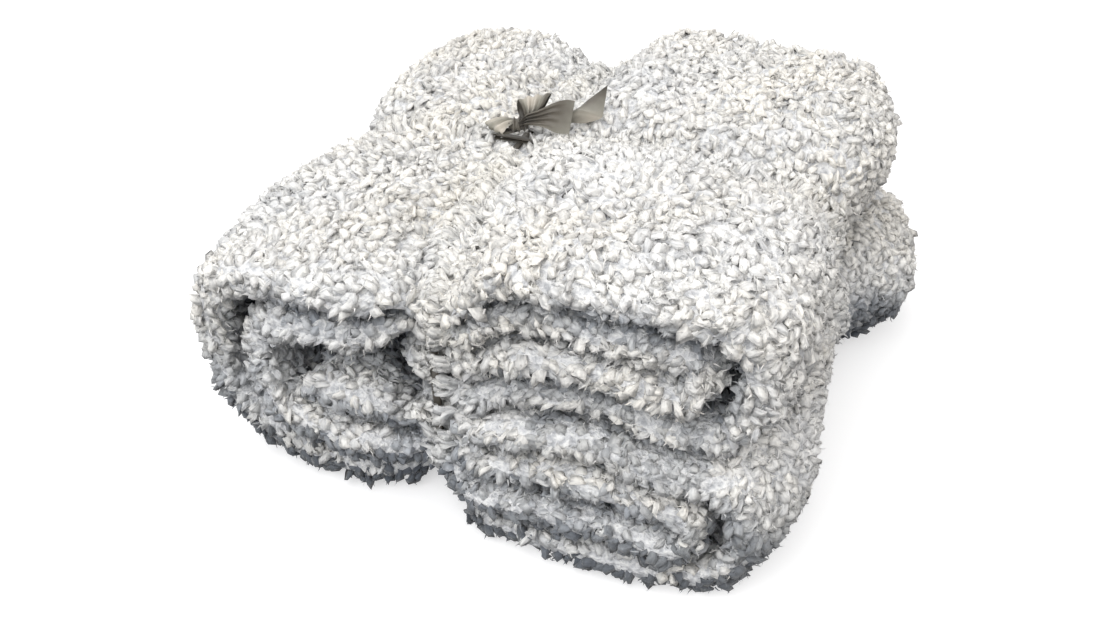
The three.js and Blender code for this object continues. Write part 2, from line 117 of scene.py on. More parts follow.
def groove(d, draw, at_edge):
    reach, wider, steep = draw
    reach = reach + wider * at_edge * at_edge
    t = np.clip((np.abs(d) - GROOVE["floor_half"]) / (reach - GROOVE["floor_half"]), 0, 1)
    return 1 - np.power(1 - (1 - t) * (1 - t), steep)


def across(left, middle, right, x):
    west = mix(middle, left, ease((COLUMN["middle_from"] - x) / (COLUMN["middle_from"] - COLUMN["left"])))
    east = mix(middle, right, ease((x - COLUMN["middle_to"]) / (COLUMN["right"] - COLUMN["middle_to"])))
    return np.where(x <= COLUMN["middle_from"], west, east)


# ---------------------------------------------------------------- the section's path, finely
def pass_point(name, x):
    """x, height, half thickness, way across (x, z), front inset, back inset"""
    left, middle, right, front_left, front_right, back = BANDS[name]
    return [
        x, float(across(left, middle, right, x)), float(across(BAND["left"], BAND["middle"], BAND["right"], x)) / 2,
        0.0, 1.0, float(mix(front_left, front_right, ease((x + 70) / 110))), back,
    ]


def pass_band(name, start, end, step=7.5):
    xs = np.linspace(start, end, max(3, int(abs(end - start) / step)))
    rows = [pass_point(name, float(x)) for x in xs]
    if start > end:
        for r in rows:
            r[4] = -1.0
    return rows


def free_end(name, tip, starts):
    full = float(across(BAND["left"], BAND["middle"], BAND["right"], tip)) / 2
    rows = []
    for turn in (12, 34, 58, 78):
        a = math.radians(turn)
        p = pass_point(name, tip + full * (1 - math.cos(a)))
        p[2] *= math.sin(a)
        if not starts:
            p[4] = -1.0
        rows.append(p)
    return rows if starts else rows[::-1]


def fold(kind, start, end):
    cx, reach, square, steps, swell, side = FOLDS[kind]
    p, q = pass_point(start, cx), pass_point(end, cx)
    mid, rise, power = (p[1] + q[1]) / 2, (p[1] - q[1]) / 2, 2 / square
    rows = []
    for i in range(1, steps):
        a = math.pi * i / steps
        s, c = math.sin(a), math.cos(a)
        sign = (c > 1e-9) - (c < -1e-9)
        x, z = cx + side * reach * s**power, mid + rise * sign * abs(c) ** power
        nx, nz = side * s ** (2 - power) / reach, sign * abs(c) ** (2 - power) / rise
        n = math.hypot(nx, nz)
        flip = 1 if side * rise > 0 else -1
        half = mix(mix(p[2], q[2], i / steps), max(swell / 2, p[2]), s * s)
        rows.append([x, z, half, nx / n * flip, nz / n * flip, mix(p[5], q[5], i / steps), mix(p[6], q[6], i / steps)])
    return rows


def section_path():
    at = {k: v[0] for k, v in FOLDS.items()}
    half = lambda x: float(across(BAND["left"], BAND["middle"], BAND["right"], x)) / 2
    start = FREE_END["e"] + half(FREE_END["e"])
    end = FREE_END["f"] + half(FREE_END["f"])
    R, r, L, l, k = at["outer_right"], at["inner_right"], at["outer_left"], at["inner_left"], at["link"]
    rows = (
        free_end("e", FREE_END["e"], True) + pass_band("e", start, R) + fold("outer_right", "e", "h")
        + pass_band("h", R, L) + fold("outer_left", "h", "a")
        + pass_band("a", L, R) + fold("outer_right", "a", "d")
        + pass_band("d", R, k) + fold("link", "d", "c")
        + pass_band("c", k, r) + fold("inner_right", "c", "b")
        + pass_band("b", r, l) + fold("inner_left", "b", "g")
        + pass_band("g", l, r) + fold("inner_right", "g", "f")
        + pass_band("f", r, end) + free_end("f", FREE_END["f"], False)
    )
    return np.array(rows, float)


def drawn_in(x, y, z):
    stack = mix(LEFT_HEIGHT, RIGHT_HEIGHT, ease((x - COLUMN["middle_to"]) / (COLUMN["right"] - COLUMN["middle_to"])))
    v, u = np.clip(np.abs(y) / (DEPTH / 2), 0, 1.1), np.clip(np.abs(x) / (WIDTH / 2), 0, 1.1)
    gx = np.where(x < GROOVE["x"], groove(x - GROOVE["x"], DRAW["long_left"], v), groove(x - GROOVE["x"], DRAW["long_right"], v))
    east = np.where(x > 0, u, 0)
    gy = np.where(y < GROOVE["y"], groove(y - GROOVE["y"], DRAW["cross_front"], east), groove(y - GROOVE["y"], DRAW["cross_back"], east))
    g = 1 - (1 - gx) * (1 - gy)
    right, behind = ease((x - GROOVE["x"] + 40) / 80), ease((y - GROOVE["y"] + 40) / 80)
    crown_x = 1 - 0.35 * np.clip(np.abs(x - mix(-115, 75, right)) / 110, 0, 1) ** 2
    crown_y = 1 - 0.45 * np.clip(np.abs(y - mix(-80, 110, behind)) / 95, 0, 1) ** 2
    rise = mix(
        mix(LOBE_RISE["front_left"], LOBE_RISE["front_right"], right),
        mix(LOBE_RISE["back_left"], LOBE_RISE["back_right"], right), behind,
    ) * crown_x * crown_y
    drop = np.where(y < 0, EDGE_DROP["front"], EDGE_DROP["back"]) * (gx * v) ** 4
    line_top = GROOVE_TOP - np.maximum(drop, EDGE_DROP["sides"] * (gy * u) ** 4)
    top, bottom = mix(stack + rise, line_top, g), GROOVE_BOTTOM * g
    share = z / stack
    Z = bottom + share * (top - bottom)
    for along_x, along_y, phase, lift in WAVES:
        Z = Z + lift * np.sin(along_x * x + along_y * y + phase) * np.sin(np.pi * np.clip(share, 0, 1)) * (1 - g)
    X = x - np.sign(x) * np.where(x < 0, NOTCH["left"], NOTCH["right"]) * gy * ease((np.abs(x) - 56) / 92)
    Y = y - np.sign(y) * np.where(y < 0, NOTCH["front"], NOTCH["back"]) * gx * ease((np.abs(y) - 56) / 74)
    corner = np.where(x < 0, CORNER_ROUND["left"], CORNER_ROUND["right"])
    X = X - np.sign(x) * corner * np.clip((v - 0.6) / 0.4, 0, 1) ** 2 * np.clip((u - 0.5) / 0.5, 0, 1) ** 2
    Y = Y - np.sign(y) * corner * v**3 * np.clip((u - 0.45) / 0.55, 0, 1) ** 2
    spread = mix(from_table(SPREAD_LOWER, y), from_table(SPREAD_UPPER, y), ease((share - 0.38) / 0.24))
    X = X + spread * ease((x - 56) / 92)
    Y = Y + (from_table(CROSS_LINE, X) - GROOVE["y"]) * np.clip(1 - ((y - GROOVE["y"]) / 150) ** 2, 0, 1)
    X = X + (from_table(LONG_LINE, Y) - GROOVE["x"]) * np.clip(1 - ((x - GROOVE["x"]) / 150) ** 2, 0, 1)
    return np.stack([X, Y, Z], -1)


# ---------------------------------------------------------------- the knitted ground: one sheet, back and forth
NOSE_TURNS = (10, 30, 50, 68, 83)


def ground_grid():
    """Positions [station, along the path, side, xyz]. The two plies lie hem to hem at the back."""
    path = section_path()
    x, z, full, nx, nz, front, back = path.T
    half = np.maximum(full - PILE, 2.4 * np.minimum(1, full / 6))
    stations = [(s * DEPTH / 2, 1.0, 0.0, 0) for s in np.linspace(-0.895, 0.895, 36)]
    for side in (-1, 1):
        for turn in NOSE_TURNS:
            a = math.radians(turn)
            stations.append((None, math.cos(a) ** 0.78, math.sin(a) ** 0.9, side))
    order = lambda s: s[3] * (DEPTH / 2 - 11 + 11 * s[2]) if s[3] else s[0]
    stations.sort(key=order)
    out = np.empty((len(stations), len(x), 2, 3))
    for j, (at, thin, nose, side) in enumerate(stations):
        y = side * (DEPTH / 2 - full + half * nose) if side else np.full_like(x, at)
        v = np.abs(y) / (DEPTH / 2)
        y = y - np.sign(y) * np.where(y < 0, front, back) * np.clip((v - 0.45) / 0.5, 0, 1) ** 2
        for k, way in enumerate((1, -1)):
            h = half * thin * way
            out[j, :, k] = drawn_in(x + nx * h, y, z + nz * h)
    return out


def grid_faces(stations, points):
    at = lambda j, i, k: (j * points + i) * 2 + k
    j, i = np.meshgrid(np.arange(stations - 1), np.arange(points - 1), indexing="ij")
    j, i = j.ravel(), i.ravel()
    faces = [
        np.stack([at(j, i, 0), at(j, i + 1, 0), at(j + 1, i + 1, 0), at(j + 1, i, 0)], 1),
        np.stack([at(j, i, 1), at(j + 1, i, 1), at(j + 1, i + 1, 1), at(j, i + 1, 1)], 1),
    ]
    j = np.arange(stations - 1)
    last = points - 1
    faces.append(np.stack([at(j, 0, 0), at(j + 1, 0, 0), at(j + 1, 0, 1), at(j, 0, 1)], 1))
    faces.append(np.stack([at(j, last, 0), at(j, last, 1), at(j + 1, last, 1), at(j + 1, last, 0)], 1))
    i = np.arange(points - 1)
    faces.append(np.stack([at(0, i, 0), at(0, i, 1), at(0, i + 1, 1), at(0, i + 1, 0)], 1))
    return np.concatenate(faces)


def normals_of(points, faces):
    p = points[faces]
    n = np.cross(p[:, 2] - p[:, 0], p[:, 3] - p[:, 1])
    out = np.zeros_like(points)
    for k in range(4):
        np.add.at(out, faces[:, k], n)
    return out / np.maximum(np.linalg.norm(out, axis=1, keepdims=True), 1e-9)


def mesh_piece(name, points, faces, material, uv=None, colour=None, smooth=True):
    """faces: list of arrays of the same corner count each. Points in the section's frame, in millimetres."""
    me = bpy.data.meshes.new(name)
    co = ((points + SHIFT) * MM).astype(np.float32)
    me.vertices.add(len(co))
    me.vertices.foreach_set("co", co.ravel())
    loops = np.concatenate([f.ravel() for f in faces]).astype(np.int32)
    totals = np.concatenate([np.full(len(f), f.shape[1], np.int32) for f in faces])
    starts = np.concatenate([[0], np.cumsum(totals)[:-1]]).astype(np.int32)
    me.loops.add(len(loops))
    me.loops.foreach_set("vertex_index", loops)
    me.polygons.add(len(totals))
    me.polygons.foreach_set("loop_start", starts)
    me.polygons.foreach_set("loop_total", totals)
    me.update(calc_edges=True)
    me.polygons.foreach_set("use_smooth", np.full(len(totals), smooth))
    if uv is not None:
        layer = me.uv_layers.new(name="OFBake")
        layer.uv.foreach_set("vector", uv.astype(np.float32).ravel())
    if colour is not None:
        layer = me.attributes.new("curl", "FLOAT_COLOR", "POINT")
        layer.data.foreach_set("color", colour.astype(np.float32).ravel())
    me.materials.append(material)
    obj = bpy.data.objects.new(name, me)
    bpy.context.scene.collection.objects.link(obj)
    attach(obj, "root")
    return obj


# ---------------------------------------------------------------- the main creases, placed one by one
FACING = {"top": (0, 0, 1), "front": (0, -1, 0), "back": (0, 1, 0), "right": (1, 0, 0), "left": (-1, 0, 0)}
# facing, from x, y, z, to x, y, z, how wide, how deep (a ridge is negative)
CREASES = [
    ("top", -150, -120, 160, -95, -25, 160, 15, 4.5),
    ("top", -118, -160, 160, -72, -60, 160, 12, -3.0),
    ("top", -170, -60, 150, -120, 10, 155, 13, 3.5),
    ("top", 12, -150, 195, 92, -128, 195, 15, -3.5),
    ("top", 28, -118, 198, 130, -70, 198, 16, 4.5),
    ("top", 20, -70, 190, 96, -20, 185, 13, -3.0),
    ("top", 120, -140, 190, 158, -60, 180, 14, 3.5),
    ("top", 40, 82, 175, 150, 64, 180, 13, 4.0),
    ("top", 60, 128, 180, 150, 110, 180, 15, -3.5),
    ("top", -130, 92, 155, -70, 150, 155, 14, 4.0),
    ("top", -160, 60, 150, -100, 110, 155, 12, -2.5),
    ("front", -6, -172, 172, 44, -176, 160, 12, 4.0),
    ("front", 62, -176, 160, 112, -172, 132, 12, -3.0),
    ("front", 12, -172, 128, 22, -172, 84, 11, 3.5),
    ("front", 66, -172, 122, 72, -172, 84, 12, 4.0),
    ("front", 104, -172, 118, 100, -172, 82, 10, -3.0),
    ("front", 38, -172, 78, 48, -172, 22, 12, 3.5),
    ("front", 96, -172, 74, 88, -172, 18, 13, 3.0),
    ("front", -150, -172, 110, -140, -172, 60, 12, 3.5),
    ("front", -96, -172, 62, -88, -172, 14, 12, 3.5),
    ("front", -120, -172, 140, -112, -172, 112, 11, -2.5),
    ("right", 176, -120, 150, 178, -40, 118, 14, 4.0),
    ("right", 178, 60, 130, 178, 130, 90, 14, 4.0),
    ("right", 178, -90, 60, 178, -20, 30, 13, 3.0),
    ("left", -176, -110, 110, -176, -50, 60, 14, 4.0),
    ("left", -176, 70, 110, -176, 120, 50, 14, 3.5),
    ("back", -60, 172, 90, -120, 172, 60, 14, 3.0),
    ("back", 60, 172, 120, 110, 172, 70, 14, 3.5),
]


def creased(points, normals):
    """How far each point of the cloth moves along its normal."""
    out = np.zeros(len(points))
    for facing, *row in CREASES:
        start, end, wide, deep = np.array(row[:3], float), np.array(row[3:6], float), row[6], row[7]
        run = end - start
        t = np.clip((points - start) @ run / (run @ run), 0, 1)
        d = np.linalg.norm((points - start - t[:, None] * run) * np.where(np.abs(FACING[facing]), 0.35, 1.0), axis=1)
        ends = 1 - 0.6 * np.abs(2 * t - 1) ** 3
        faces_it = ease((normals @ np.array(FACING[facing], float) - 0.15) / 0.5)
        wander = 1 + 0.25 * np.sin(9 * t + start[0])
        out -= deep * ends * faces_it * np.exp(-((d / (wide * wander)) ** 2))
    return out


# ---------------------------------------------------------------- materials
def nodes_of(name):
    mat = bpy.data.materials.new(name)
    mat.use_nodes = True
    tree = mat.node_tree
    return mat, tree, tree.nodes, tree.links, tree.nodes["Principled BSDF"]


def add(nodes, kind, **values):
    n = nodes.new(kind)
    for k, v in values.items():
        setattr(n, k, v)
    return n


def ramp(nodes, stops):
    r = nodes.new("ShaderNodeValToRGB")
    r.color_ramp.elements[0].position, r.color_ramp.elements[0].color = stops[0][0], (*stops[0][1], 1)
    r.color_ramp.elements[1].position, r.color_ramp.elements[1].color = stops[-1][0], (*stops[-1][1], 1)
    for at, c in stops[1:-1]:
        e = r.color_ramp.elements.new(at)
        e.color = (*c, 1)
    return r


def math_node(nodes, links, op, a, b=None, c=None, clamp=False):
    m = nodes.new("ShaderNodeMath")
    m.operation, m.use_clamp = op, clamp
    for i, v in enumerate((a, b, c)):
        if v is None:
            continue
        if isinstance(v, (int, float)):
            m.inputs[i].default_value = v
        else:
            links.new(v, m.inputs[i])
    return m.outputs[0]


def mix_colour(nodes, links, factor, a, b, blend="MIX"):
    m = nodes.new("ShaderNodeMix")
    m.data_type, m.blend_type = "RGBA", blend
    for socket, v in ((m.inputs[0], factor), (m.inputs[6], a), (m.inputs[7], b)):
        if isinstance(v, (int, float)):
            socket.default_value = v
        elif isinstance(v, tuple):
            socket.default_value = (*v, 1)
        else:
            links.new(v, socket)
    return m.outputs[2]


def pile_material():
    mat, tree, nodes, links, shader = nodes_of("curly_pile")
    curl = add(nodes, "ShaderNodeAttribute", attribute_name="curl")
    parts = nodes.new("ShaderNodeSeparateColor")
    links.new(curl.outputs["Color"], parts.inputs[0])
    root_to_tip, tone, warmth = parts.outputs[0], parts.outputs[1], parts.outputs[2]
    where = nodes.new("ShaderNodeTexCoord").outputs["Object"]
    fine = add(nodes, "ShaderNodeTexNoise")
    fine.inputs["Scale"].default_value, fine.inputs["Detail"].default_value = 520, 2.0
    links.new(where, fine.inputs["Vector"])
    # streaks of fibre along each curl
    uv = nodes.new("ShaderNodeSeparateXYZ")
    links.new(add(nodes, "ShaderNodeUVMap", uv_map="OFBake").outputs[0], uv.inputs[0])
    strand = nodes.new("ShaderNodeCombineXYZ")
    for k, often in ((0, 11.0 * CELLS), (1, 1.8 * CELLS)):
        links.new(math_node(nodes, links, "MULTIPLY", uv.outputs[k], often), strand.inputs[k])
    links.new(math_node(nodes, links, "MULTIPLY", tone, 37.0), strand.inputs[2])
    streak = add(nodes, "ShaderNodeTexNoise")
    streak.inputs["Scale"].default_value, streak.inputs["Detail"].default_value = 1.0, 2.0
    links.new(strand.outputs[0], streak.inputs["Vector"])
    fuzz = math_node(nodes, links, "MULTIPLY_ADD", streak.outputs["Fac"], 0.6, math_node(nodes, links, "MULTIPLY", fine.outputs["Fac"], 0.4))
    patch = add(nodes, "ShaderNodeTexNoise")
    patch.inputs["Scale"].default_value, patch.inputs["Detail"].default_value = 26, 2.0
    links.new(where, patch.inputs["Vector"])
    # darker cool grey at the root and whiter at the tip: painted shade down among the curls and a painted highlight on
    # their tips
    climb = math_node(nodes, links, "ADD", root_to_tip, math_node(nodes, links, "MULTIPLY", math_node(nodes, links, "SUBTRACT", fuzz, 0.5), 1.6))
    body = ramp(nodes, [(0.0, (0.72, 0.725, 0.735)), (0.30, (0.81, 0.812, 0.812)), (0.62, (0.865, 0.862, 0.852)), (0.95, (0.885, 0.878, 0.862))])
    links.new(climb, body.inputs[0])
    grey = ramp(nodes, [(0.30, (0.70, 0.712, 0.73)), (0.52, (0.87, 0.873, 0.88)), (0.74, (0.99, 0.986, 0.975)), (1.0, (1.04, 1.03, 1.005))])
    links.new(math_node(nodes, links, "ADD", math_node(nodes, links, "MULTIPLY", tone, 0.42), math_node(nodes, links, "MULTIPLY", patch.outputs["Fac"], 0.85)), grey.inputs[0])
    colour = mix_colour(nodes, links, 1.0, body.outputs[0], grey.outputs[0], "MULTIPLY")
    # single darker fibres among the white ones
    heather = ramp(nodes, [(0.30, (0.60, 0.605, 0.615)), (0.43, (0.86, 0.86, 0.862)), (0.56, (1.0, 1.0, 1.0)), (0.70, (1.03, 1.03, 1.025))])
    links.new(streak.outputs["Fac"], heather.inputs[0])
    colour = mix_colour(nodes, links, 1.0, colour, heather.outputs[0], "MULTIPLY")
    # painted shade, from the curl attribute's alpha: darker and cooler in the creases, low down and on faces turned
    # forwards or down, where the pile is least open
    closed = ramp(nodes, [(0.0, (0.13, 0.147, 0.175)), (0.3, (0.52, 0.55, 0.60)), (0.6, (0.93, 0.945, 0.965)), (1.0, (1.0, 1.0, 1.0))])
    links.new(curl.outputs["Alpha"], closed.inputs[0])
    colour = mix_colour(nodes, links, 1.0, colour, closed.outputs[0], "MULTIPLY")
    colour = mix_colour(nodes, links, math_node(nodes, links, "MULTIPLY", warmth, 0.9), colour, (1.0, 0.975, 0.93), "MULTIPLY")
    links.new(colour, shader.inputs["Base Color"])
    rough = math_node(nodes, links, "MULTIPLY_ADD", fuzz, 0.25, 0.74, clamp=True)
    links.new(rough, shader.inputs["Roughness"])
    shader.inputs["Sheen Weight"].default_value = 0.35
    shader.inputs["Sheen Roughness"].default_value = 0.45
    shader.inputs["Specular IOR Level"].default_value = 0.2
    bump = add(nodes, "ShaderNodeBump")
    bump.inputs["Strength"].default_value, bump.inputs["Distance"].default_value = 0.9, 0.0022
    links.new(fuzz, bump.inputs["Height"])
    links.new(bump.outputs[0], shader.inputs["Normal"])
    return mat


def ground_material():
    mat, tree, nodes, links, shader = nodes_of("knitted_ground")
    where = nodes.new("ShaderNodeTexCoord").outputs["Object"]
    knit = add(nodes, "ShaderNodeTexNoise")
    knit.inputs["Scale"].default_value, knit.inputs["Detail"].default_value = 300, 3.0
    links.new(where, knit.inputs["Vector"])
    colour = ramp(nodes, [(0.34, (0.46, 0.47, 0.49)), (0.5, (0.70, 0.705, 0.715)), (0.64, (0.86, 0.86, 0.85))])
    links.new(knit.outputs["Fac"], colour.inputs[0])
    links.new(colour.outputs[0], shader.inputs["Base Color"])
    links.new(math_node(nodes, links, "MULTIPLY_ADD", knit.outputs["Fac"], 0.2, 0.78, clamp=True), shader.inputs["Roughness"])
    shader.inputs["Sheen Weight"].default_value = 0.2
    bump = add(nodes, "ShaderNodeBump")
    bump.inputs["Strength"].default_value, bump.inputs["Distance"].default_value = 1.0, 0.0035
    links.new(knit.outputs["Fac"], bump.inputs["Height"])
    links.new(bump.outputs[0], shader.inputs["Normal"])
    return mat


def satin_material():
    mat, tree, nodes, links, shader = nodes_of("taupe_satin")
    uv = add(nodes, "ShaderNodeUVMap", uv_map="OFBake")
    ribs = add(nodes, "ShaderNodeTexWave", wave_type="BANDS", bands_direction="X")
    ribs.inputs["Scale"].default_value, ribs.inputs["Distortion"].default_value = 38, 0.4
    links.new(uv.outputs[0], ribs.inputs["Vector"])
    # painted reflection and shade: one taupe satin, made lighter where it would catch the light and darker where it
    # lies in shade, by the curl attribute's red channel
    painted_light_channel = nodes.new("ShaderNodeSeparateColor")
    links.new(add(nodes, "ShaderNodeAttribute", attribute_name="curl").outputs["Color"], painted_light_channel.inputs[0])
    cloud = add(nodes, "ShaderNodeTexNoise")
    cloud.inputs["Scale"].default_value, cloud.inputs["Detail"].default_value = 140, 3.0
    links.new(nodes.new("ShaderNodeTexCoord").outputs["Object"], cloud.inputs["Vector"])
    colour = ramp(nodes, [(0.0, (0.040, 0.035, 0.029)), (0.3, (0.108, 0.096, 0.077)), (0.6, (0.235, 0.225, 0.19)), (1.0, (0.50, 0.455, 0.39))])
    uneven = math_node(nodes, links, "MULTIPLY_ADD", cloud.outputs["Fac"], 0.24, -0.12)
    links.new(math_node(nodes, links, "ADD", painted_light_channel.outputs[0], uneven, clamp=True), colour.inputs[0])
    links.new(colour.outputs[0], shader.inputs["Base Color"])
    links.new(math_node(nodes, links, "MULTIPLY_ADD", cloud.outputs["Fac"], 0.22, 0.26, clamp=True), shader.inputs["Roughness"])
    shader.inputs["Sheen Weight"].default_value = 0.25
    shader.inputs["Sheen Roughness"].default_value = 0.35
    shader.inputs["Anisotropic"].default_value = 0.5
    bump = add(nodes, "ShaderNodeBump")
    bump.inputs["Strength"].default_value, bump.inputs["Distance"].default_value = 0.25, 0.0003
    links.new(ribs.outputs["Fac"], bump.inputs["Height"])
    links.new(bump.outputs[0], shader.inputs["Normal"])
    return mat


PILE_LOOK, GROUND_LOOK, SATIN_LOOK = pile_material(), ground_material(), satin_material()

# ---------------------------------------------------------------- the cloth itself
grid = ground_grid()
STATIONS, POINTS = grid.shape[:2]
flat_points = grid.reshape(-1, 3)
faces = grid_faces(STATIONS, POINTS)
p = flat_points[faces]
volume = sum(float((p[:, 0] * np.cross(p[:, i], p[:, i + 1])).sum()) for i in (1, 2))
if volume < 0:
    faces = faces[:, ::-1]
normals = normals_of(flat_points, faces)
flat_points = flat_points + normals * creased(flat_points, normals)[:, None]
grid = flat_points.reshape(grid.shape)
NORMALS = normals_of(flat_points, faces).reshape(grid.shape)
PACKED = 1.3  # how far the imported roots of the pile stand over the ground
cloth = mesh_piece("throw_cloth", flat_points + NORMALS.reshape(-1, 3) * PACKED, [faces], GROUND_LOOK)
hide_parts("throw")

# ---------------------------------------------------------------- where the curls stand
rng = np.random.default_rng(20260)


def band_of_path():
    """The band that each point of the path lies in, or -1 in a fold."""
    x, z = section_path()[:, :2].T
    heights = np.stack([across(*BANDS[b][:3], x) for b in BANDS])
    nearest = np.abs(heights - z).argmin(0)
    return np.where(np.abs(heights - z).min(0) < 2.0, nearest, -1)


BAND_AT = band_of_path()
# the creases that stay open in front: the band above, the band below, from x to x
OPEN_CREASES = [("a", "b", -200, 200), ("c", "d", 0, 200), ("d", "e", 40, 200), ("f", "g", -60, 200)]


def along_rows(side):
    """Places and normals of curls on one side of the cloth, in rows across the path."""
    pts, nor = grid[:, :, side], NORMALS[:, :, side]
    reach = np.concatenate([[0], np.cumsum(np.linalg.norm(np.diff(pts, axis=0), axis=2).mean(1))])
    end = reach[len(NOSE_TURNS) + 1]
    fine = LOCK_ROWS * 0.66
    near = np.arange(fine * 0.8, end, fine)
    rows = [(a, fine) for a in near] + [(a, LOCK_ROWS) for a in np.arange(near[-1] + LOCK_ROWS * 0.8, reach[-1] - end, LOCK_ROWS)]
    rows += [(reach[-1] - a, fine) for a in near]

    def line_at(at):
        j = max(min(np.searchsorted(reach, at) - 1, STATIONS - 2), 0)
        t = np.clip((at - reach[j]) / (reach[j + 1] - reach[j]), 0, 1)
        return mix(pts[j], pts[j + 1], t), mix(nor[j], nor[j + 1], t)

    lines = []
    for at, step in rows:
        line, way = line_at(at)
        room = np.linalg.norm(line_at(at + step / 2)[0] - line_at(at - step / 2)[0], axis=1)
        lines.append((line, way, room / LOCK_ROWS))
    if side == 0:
        lines += [(grid[j].mean(1), NORMALS[j].mean(1), np.ones(POINTS)) for j in (0, STATIONS - 1)]
    places, ways, bands = [], [], []
    for line, way, room in lines:
        s = np.concatenate([[0], np.cumsum(np.linalg.norm(np.diff(line, axis=0), axis=1))])
        where = np.arange(rng.uniform(0, LOCK_ALONG), s[-1], LOCK_ALONG)
        where = np.clip(where + rng.normal(0, 1.1, len(where)), 0, s[-1])
        where = where[rng.uniform(size=len(where)) < np.interp(where, s, room)]
        for out, src in ((places, line), (ways, way)):
            out.append(np.stack([np.interp(where, s, src[:, k]) for k in range(3)], 1))
        bands.append(BAND_AT[np.clip(np.searchsorted(s, where), 0, POINTS - 1)])
    return np.concatenate(places), np.concatenate(ways), np.concatenate(bands)


found = [along_rows(k) for k in (0, 1)]
PLACE, WAY, ON_BAND = (np.concatenate([f[k] for f in found]) for k in (0, 1, 2))
WAY /= np.linalg.norm(WAY, axis=1, keepdims=True)
# a little off the rows, in the cloth's own plane
nudge = rng.normal(0, 0.9, PLACE.shape)
PLACE = PLACE + nudge - (nudge * WAY).sum(1, keepdims=True) * WAY

tree = BVHTree.FromPolygons([Vector(v) for v in flat_points], [tuple(int(a) for a in f) for f in faces])


def openness(place, way):
    """Share of the directions over each place that reach open air."""
    turns = np.array([(e, a) for e, n in ((0.0, 1), (0.55, 4), (1.0, 6), (1.35, 5)) for a in np.linspace(0, 2 * math.pi, n, endpoint=False)])
    seen = np.zeros(len(place))
    helper = np.where(np.abs(way[:, :1]) > 0.8, np.array([[0, 1.0, 0]]), np.array([[1.0, 0, 0]]))
    s1 = np.cross(way, helper)
    s1 /= np.linalg.norm(s1, axis=1, keepdims=True)
    s2 = np.cross(way, s1)
    start = place + way * 2.0
    for e, a in turns:
        d = way * math.cos(e) + (s1 * math.cos(a) + s2 * math.sin(a)) * math.sin(e)
        floor = np.where(d[:, 2] < -1e-3, (start[:, 2] + 2) / np.maximum(-d[:, 2], 1e-3), 1e9)
        for i in range(len(place)):
            if floor[i] < 70:
                continue
            if tree.ray_cast(Vector(start[i]), Vector(d[i]), 260)[0] is None:
                seen[i] += 1
    return seen / len(turns)


seen = openness(PLACE, WAY)
UNDER = (WAY[:, 2] < -0.75) & (PLACE[:, 2] < 16)


def line_x(y):
    return from_table(LONG_LINE, y)


def line_y(x):
    return from_table(CROSS_LINE, x)


off_long, off_cross = PLACE[:, 0] - line_x(PLACE[:, 1]), PLACE[:, 1] - line_y(PLACE[:, 0])
outside = seen > 0.3
under_ribbon = ((np.abs(off_long) < 3.5) | (np.abs(off_cross) < 3.5)) & outside
keep = ((seen > 0.0) | (UNDER & (rng.uniform(size=len(seen)) < 0.45))) & ~under_ribbon
keep &= (seen > 0.13) | (rng.uniform(size=len(seen)) < 0.6)
print("curls", len(PLACE), "kept", int(keep.sum()), "under", int((UNDER & keep).sum()), "closed", int((seen == 0).sum()))
PLACE, WAY, SEEN, UNDER, ON_BAND = PLACE[keep], WAY[keep], seen[keep], UNDER[keep], ON_BAND[keep]
off_long, off_cross = off_long[keep], off_cross[keep]
KNOT_BOX = [np.array(c[:]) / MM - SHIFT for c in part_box("ribbon_knot")]
KNOT_BASE = np.array([(KNOT_BOX[0][0] + KNOT_BOX[1][0]) / 2, (KNOT_BOX[0][1] + KNOT_BOX[1][1]) / 2, KNOT_BOX[0][2]])

def hull(points):
    pts = sorted(map(tuple, points))
    turn3 = lambda o, a, b: (a[0] - o[0]) * (b[1] - o[1]) - (a[1] - o[1]) * (b[0] - o[0])

    def half(run):
        out = []
        for q in run:
            while len(out) > 1 and turn3(out[-2], out[-1], q) <= 0:
                out.pop()
            out.append(q)
        return out[:-1]

    return np.array(half(pts) + half(pts[::-1]))


def even(loop, step):
    closed = np.concatenate([loop, loop[:1]])
    s = np.concatenate([[0], np.cumsum(np.linalg.norm(np.diff(closed, axis=0), axis=1))])
    at = np.linspace(0, s[-1], int(s[-1] / step), endpoint=False)
    return np.stack([np.interp(at, s, closed[:, k]) for k in range(closed.shape[1])], 1)


def softened(loop, times):
    for _ in range(times):
        loop = 0.25 * np.roll(loop, 1, 0) + 0.5 * loop + 0.25 * np.roll(loop, -1, 0)
    return loop


def ribbon_loop(name, along):
    """The loop that the ribbon follows, in its own plane, and the way out of it."""
    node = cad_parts[name]
    raw = np.array([v.co[:] for v in node.data.vertices]) / MM - SHIFT
    loop = softened(even(hull(raw[:, [along, 2]]), 4.0), 3)
    ahead = np.roll(loop, -1, 0) - np.roll(loop, 1, 0)
    ahead /= np.linalg.norm(ahead, axis=1, keepdims=True)
    return loop, np.stack([ahead[:, 1], -ahead[:, 0]], 1)


# name: the axis it runs along, its line, from (in plane, across) to x, y, z
RIBBON = {
    "ribbon_long": (1, line_x, lambda p, c: np.stack([c, p[:, 0], p[:, 1]], 1)),
    "ribbon_cross": (0, line_y, lambda p, c: np.stack([p[:, 0], c, p[:, 1]], 1)),
}


